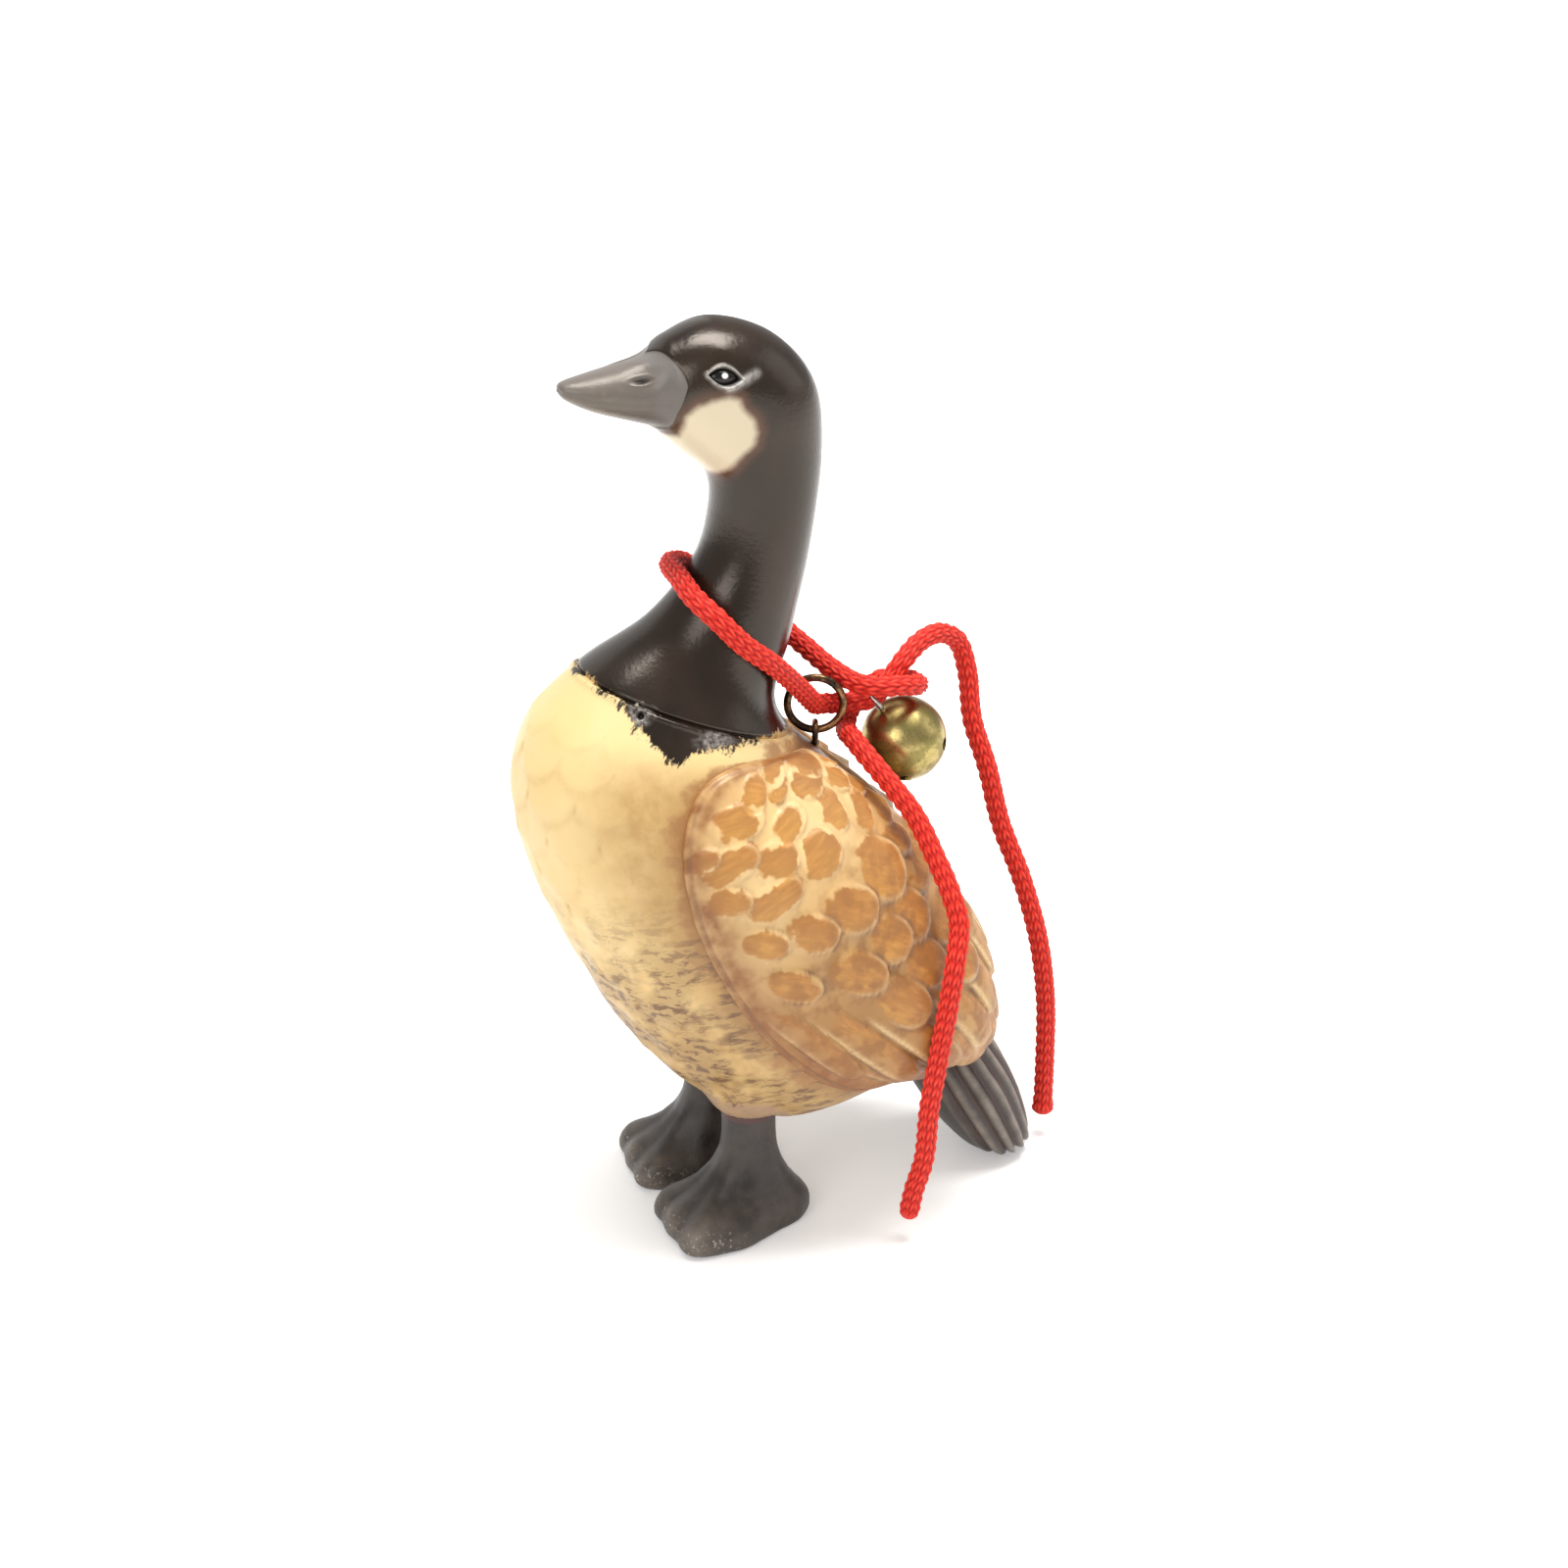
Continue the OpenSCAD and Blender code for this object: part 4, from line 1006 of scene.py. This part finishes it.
def make_tail(material):
    """The tail casting: its own loft with sixteen lengthwise feather ridges, a cosine of the
    turn round it, which reach further than the furrows between them."""
    last = len(TAIL) - 1
    place = spaced(0, last, 200, (last - 1.5, 1.0, 0.6))
    turn = np.linspace(0, 2 * np.pi, 240, endpoint=False)
    U, T = np.meshgrid(place, turn, indexing="ij")
    points = on_loft(TAIL, U, T)
    normal = outward(points)
    ridges = np.cos(T * 16)
    upper = smooth(-0.8, -0.55, np.cos(T))
    rounded = 0.5 + 0.5 * ridges
    fades = smooth(0, 1, U) * smooth(last, last - 1.4, U)
    height = upper * fades * (0.6 * rounded ** 0.7 - 0.3)
    height += 0.05 * waves(points, 5, 41)
    points = points + normal * height[..., None]
    shift = 0.55 * np.clip(ridges, -0.6, 1) * smooth(last - 2.6, last - 0.8, U)
    shift *= smooth(last, last - 0.5, U)
    points[..., 1] += shift * 0.8 * upper
    points[..., 2] -= shift * 0.3 * upper
    # A painted highlight on the ridges' crests, painted shade in the furrows between them, and wear
    # at the tip.
    marks = {"crest": upper * fades * rounded ** 2 * 0.9,
             "worn": 0.5 * smooth(last - 1.8, last - 0.4, U) * rounded,
             "seam_and_furrow_shade": smooth(-0.3, -0.95, ridges) * upper * fades * 0.5}
    piece = skin("painted_tail", points, material, "goose", marks)
    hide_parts("tail")


def make_leg(name, way, material):
    """A leg casting: level outlines from the floor up, each a blend of the sole's outline and a
    circle. Three toes swell it, with soft knuckles, and the webs between them sink."""
    count, rows = 240, 150
    # Rows crowd at the foot: height = top × share^1.6.
    share = np.linspace(0, 1, rows)
    high = LEG[-1, 0] * share ** 1.6
    index = np.interp(high, LEG[:, 0], np.arange(len(LEG)))
    table = rows_at(LEG, index)
    turn = np.linspace(0, 2 * np.pi, count, endpoint=False)
    degrees = np.degrees(turn)
    loop = np.concatenate([SOLE[-2:] - (360, 0), SOLE, SOLE[:2] + (360, 0)])
    where = np.interp(degrees, loop[:, 0], np.arange(len(loop)))
    reach = rows_at(loop, where)[:, 1]
    part = np.clip(table[:, 1], 0, 1)[:, None]
    ahead = (degrees + 180) % 360 - 180
    toes = np.maximum.reduce([hump(ahead + 30, 11), hump(ahead, 10), hump(ahead - 30, 11)])
    knuckles = 0.8 * (toes - 0.35) * smooth(75, 45, np.abs(ahead))
    radius = table[:, 2:] * (1 - part) + part * (reach + knuckles)[None]
    # The toes swell 3.6 mm up, and the sole's edge is rounded off below.
    radius += 0.64 * hump(high - 3.6, 1.0)[:, None] * toes[None]
    radius -= 0.35 * smooth(0.45, 0, high)[:, None]
    side = np.radians(FOOT_TURN)
    # Straight ahead is -Y; a positive turn goes towards the leg's outer side.
    x = radius * np.sin(turn)[None]
    y = -radius * np.cos(turn)[None]
    x, y = x * np.cos(side) - y * np.sin(side), x * np.sin(side) + y * np.cos(side)
    z = np.broadcast_to(high[:, None], x.shape)
    points = np.stack([way * (LEG_SIDE + x), LEG_FORE + y, z], -1)
    foot = smooth(6, 2.5, z)
    tip = smooth(0.8, 1.0, radius / (reach[None] + 0.01)) * smooth(70, 40, np.abs(ahead))[None]
    toe_tops = toes * smooth(60, 40, np.abs(ahead))
    # A painted highlight over the foot, strongest on the toes' tops, wear on the toe tips, and the
    # dark joint line at the top.
    marks = {"crest": np.clip(foot * (0.25 + 0.75 * toe_tops[None]), 0, 1) * 0.6,
             "worn": tip * smooth(4.2, 2.5, z) * smooth(0.2, 0.8, z),
             "seam_and_furrow_shade": smooth(THIGH_FOOT - 1.1, THIGH_FOOT - 0.85, z) * 0.9}
    piece = skin("painted_" + name, points, material, "goose", marks)
    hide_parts(name)


def finish_metal():
    """Gives each metal part that the frame brings its own material."""
    # Each metal's bright, dull and pitted colours, its pits' size in mm, and its roughness.
    bronze, brass, steel, iron = (tarnished_metal(*finish) for finish in (
        ("antique_bronze_wire", "#8A6A4A", "#3F3228", "#241C17", 0.25, 0.3, 0.5),
        ("tarnished_brass_sheet", "#B5A268", "#8F8350", "#6B6444", 0.3, 0.3, 0.42),
        ("plated_steel_wire", "#C9C7C2", "#98938C", "#6B645C", 0.15, 0.18, 0.32),
        ("rolled_steel_ball", "#8E8B86", "#5C5853", "#3A3530", 0.3, 0.3, 0.5)))
    for name, material in (("hanger_ring", bronze), ("bell_shell", brass), ("bell_shank", steel),
                           ("bell_pellet", iron), ("hanger_eye", bronze)):
        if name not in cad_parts:
            raise RuntimeError(f"the frame has no {name}")
        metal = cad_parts[name]
        metal.data.materials.clear()
        metal.data.materials.append(material)


# ---------------------------------------------------------------- panel

def tint(name, text, description):
    """A colour setting that starts from an sRGB hex colour."""
    return bpy.props.FloatVectorProperty(name=name, description=description, subtype="COLOR",
                                         size=3, min=0, max=1, default=colour(text)[:3])


class GooseColours(bpy.types.PropertyGroup):
    neck: tint("Neck", "#140C07", "Dark satin paint of the neck and head")
    breast: tint("Breast", "#EBCF96", "Cream ground of the breast")
    flank: tint("Flank", "#BE9860", "Tan wash of the flank and belly")
    wing: tint("Wing ground", "#EBC88E", "Cream ground of the wings")
    feather: tint("Feather brown", "#A46A32", "Darkest brown of the feather dabs")
    cheek: tint("Cheek", "#DFD0B2", "Cheek patch")
    bill: tint("Bill", "#67605A", "Grey-brown of the bill")
    legs: tint("Legs and tail", "#2B2420", "Dark paint of the legs and tail")
    cord: tint("Cord", "#E62A1C", "Yarn of the cord")


class GooseSizes(bpy.types.PropertyGroup):
    cord: bpy.props.FloatProperty(
        name="Cord", description="Diameter of the cord",
        default=0.0025, min=0.002, max=0.003, unit="LENGTH", precision=4)
    stitch: bpy.props.FloatProperty(
        name="Stitch", description="Length of one stitch of the cord",
        default=0.0014, min=0.001, max=0.003, unit="LENGTH", precision=4)
    cord_columns: bpy.props.IntProperty(
        name="Columns", description="Columns of stitches round the cord", default=7, min=4, max=8)


class GooseStage(bpy.types.PropertyGroup):
    turn: bpy.props.FloatProperty(
        name="Turn", description="Where the camera stands, from the goose's front to its left",
        default=math.radians(70), subtype="ANGLE")
    rise: bpy.props.FloatProperty(
        name="Rise", description="How far the camera looks down",
        default=math.radians(24), subtype="ANGLE")
    distance: bpy.props.FloatProperty(
        name="Distance", description="From the camera to the middle of the goose",
        default=0.33, min=0.1, unit="LENGTH")
    aim_height: bpy.props.FloatProperty(
        name="Aim height", description="Height of the point that the camera looks at",
        default=0.0528, unit="LENGTH", precision=4)
    lens: bpy.props.FloatProperty(
        name="Lens", description="Focal length on a 36 mm sensor",
        default=65.7, min=10, subtype="DISTANCE_CAMERA")
    light: bpy.props.FloatProperty(
        name="Light", description="Strength of all the lamps together",
        default=1.0, min=0, max=4, subtype="FACTOR")


class GOOSE_OT_stage(bpy.types.Operator):
    """Adds the floor, the lamps, the world and the camera"""
    bl_idname = "goose.stage"
    bl_label = "Stage"

    def execute(self, context):
        make_stage(context.scene.goose_stage)
        return {"FINISHED"}


class GOOSE_OT_cords(bpy.types.Operator):
    """Knits the cord that goes round the neck and the cord's rear end"""
    bl_idname = "goose.cords"
    bl_label = "Cords"

    def execute(self, context):
        sizes, yarn = context.scene.goose_sizes, knitted_yarn(context.scene.goose_colours)
        for name, route, flare, with_pieces in (
                ("cord_round_neck", ROUND_NECK_ROUTE, 0.0, ()),
                ("cord_rear_end", REAR_END_ROUTE, 0.16,
                 ("bell_shell", "bell_shank", "bell_pellet"))):
            make_cord("knitted_" + name, route, sizes, yarn, name, flare)
        return {"FINISHED"}


class GOOSE_OT_body(bpy.types.Operator):
    """Casts and paints the body, the neck and head, and the eyes"""
    bl_idname = "goose.body"
    bl_label = "Body, neck and head"

    def execute(self, context):
        paint = painted_bisque(context.scene.goose_colours)
        make_body(paint)
        make_neck_and_head(paint, glossy_eye())
        return {"FINISHED"}


class GOOSE_OT_wings(bpy.types.Operator):
    """Casts and paints the two wings"""
    bl_idname = "goose.wings"
    bl_label = "Wings"

    def execute(self, context):
        paint = painted_wing(context.scene.goose_colours)
        make_wing("left_wing", 1, paint)
        make_wing("right_wing", -1, paint)
        return {"FINISHED"}


class GOOSE_OT_tail_and_legs(bpy.types.Operator):
    """Casts and paints the tail and the two legs"""
    bl_idname = "goose.tail_and_legs"
    bl_label = "Tail and legs"

    def execute(self, context):
        paint = dark_castings(context.scene.goose_colours)
        make_tail(paint)
        make_leg("left_leg", 1, paint)
        make_leg("right_leg", -1, paint)
        return {"FINISHED"}


class GOOSE_OT_metal(bpy.types.Operator):
    """Finishes the ring, the hanger eye, and the bell with its loop and pellet"""
    bl_idname = "goose.metal"
    bl_label = "Ring and bell"

    def execute(self, context):
        finish_metal()
        return {"FINISHED"}


OPERATORS = (GOOSE_OT_stage, GOOSE_OT_cords, GOOSE_OT_body, GOOSE_OT_wings,
             GOOSE_OT_tail_and_legs, GOOSE_OT_metal)


class GOOSE_PT_panel(bpy.types.Panel):
    """Lists the goose's pieces, colours and sizes"""
    bl_label = "Goose ornament"
    bl_idname = "GOOSE_PT_panel"
    bl_space_type = "VIEW_3D"
    bl_region_type = "UI"
    bl_category = "Goose"

    def draw(self, context):
        layout = self.layout
        for name in GROUPS:
            group = getattr(context.scene, name)
            box = layout.box()
            for key in group.__annotations__:
                box.prop(group, key)
        for operator in OPERATORS:
            layout.operator(operator.bl_idname)


CLASSES = (GooseColours, GooseSizes, GooseStage) + OPERATORS + (GOOSE_PT_panel,)


GROUPS = {"goose_colours": GooseColours, "goose_sizes": GooseSizes, "goose_stage": GooseStage}


def register():
    for one in CLASSES:
        bpy.utils.register_class(one)
    for key, group in GROUPS.items():
        setattr(bpy.types.Scene, key, bpy.props.PointerProperty(type=group))


def unregister():
    for key in GROUPS:
        delattr(bpy.types.Scene, key)
    for one in reversed(CLASSES):
        bpy.utils.unregister_class(one)


def main():
    """Builds everything in order."""
    register()
    for operator in OPERATORS:
        group, name = operator.bl_idname.split(".")
        getattr(getattr(bpy.ops, group), name)()


if __name__ == "__main__":
    main()
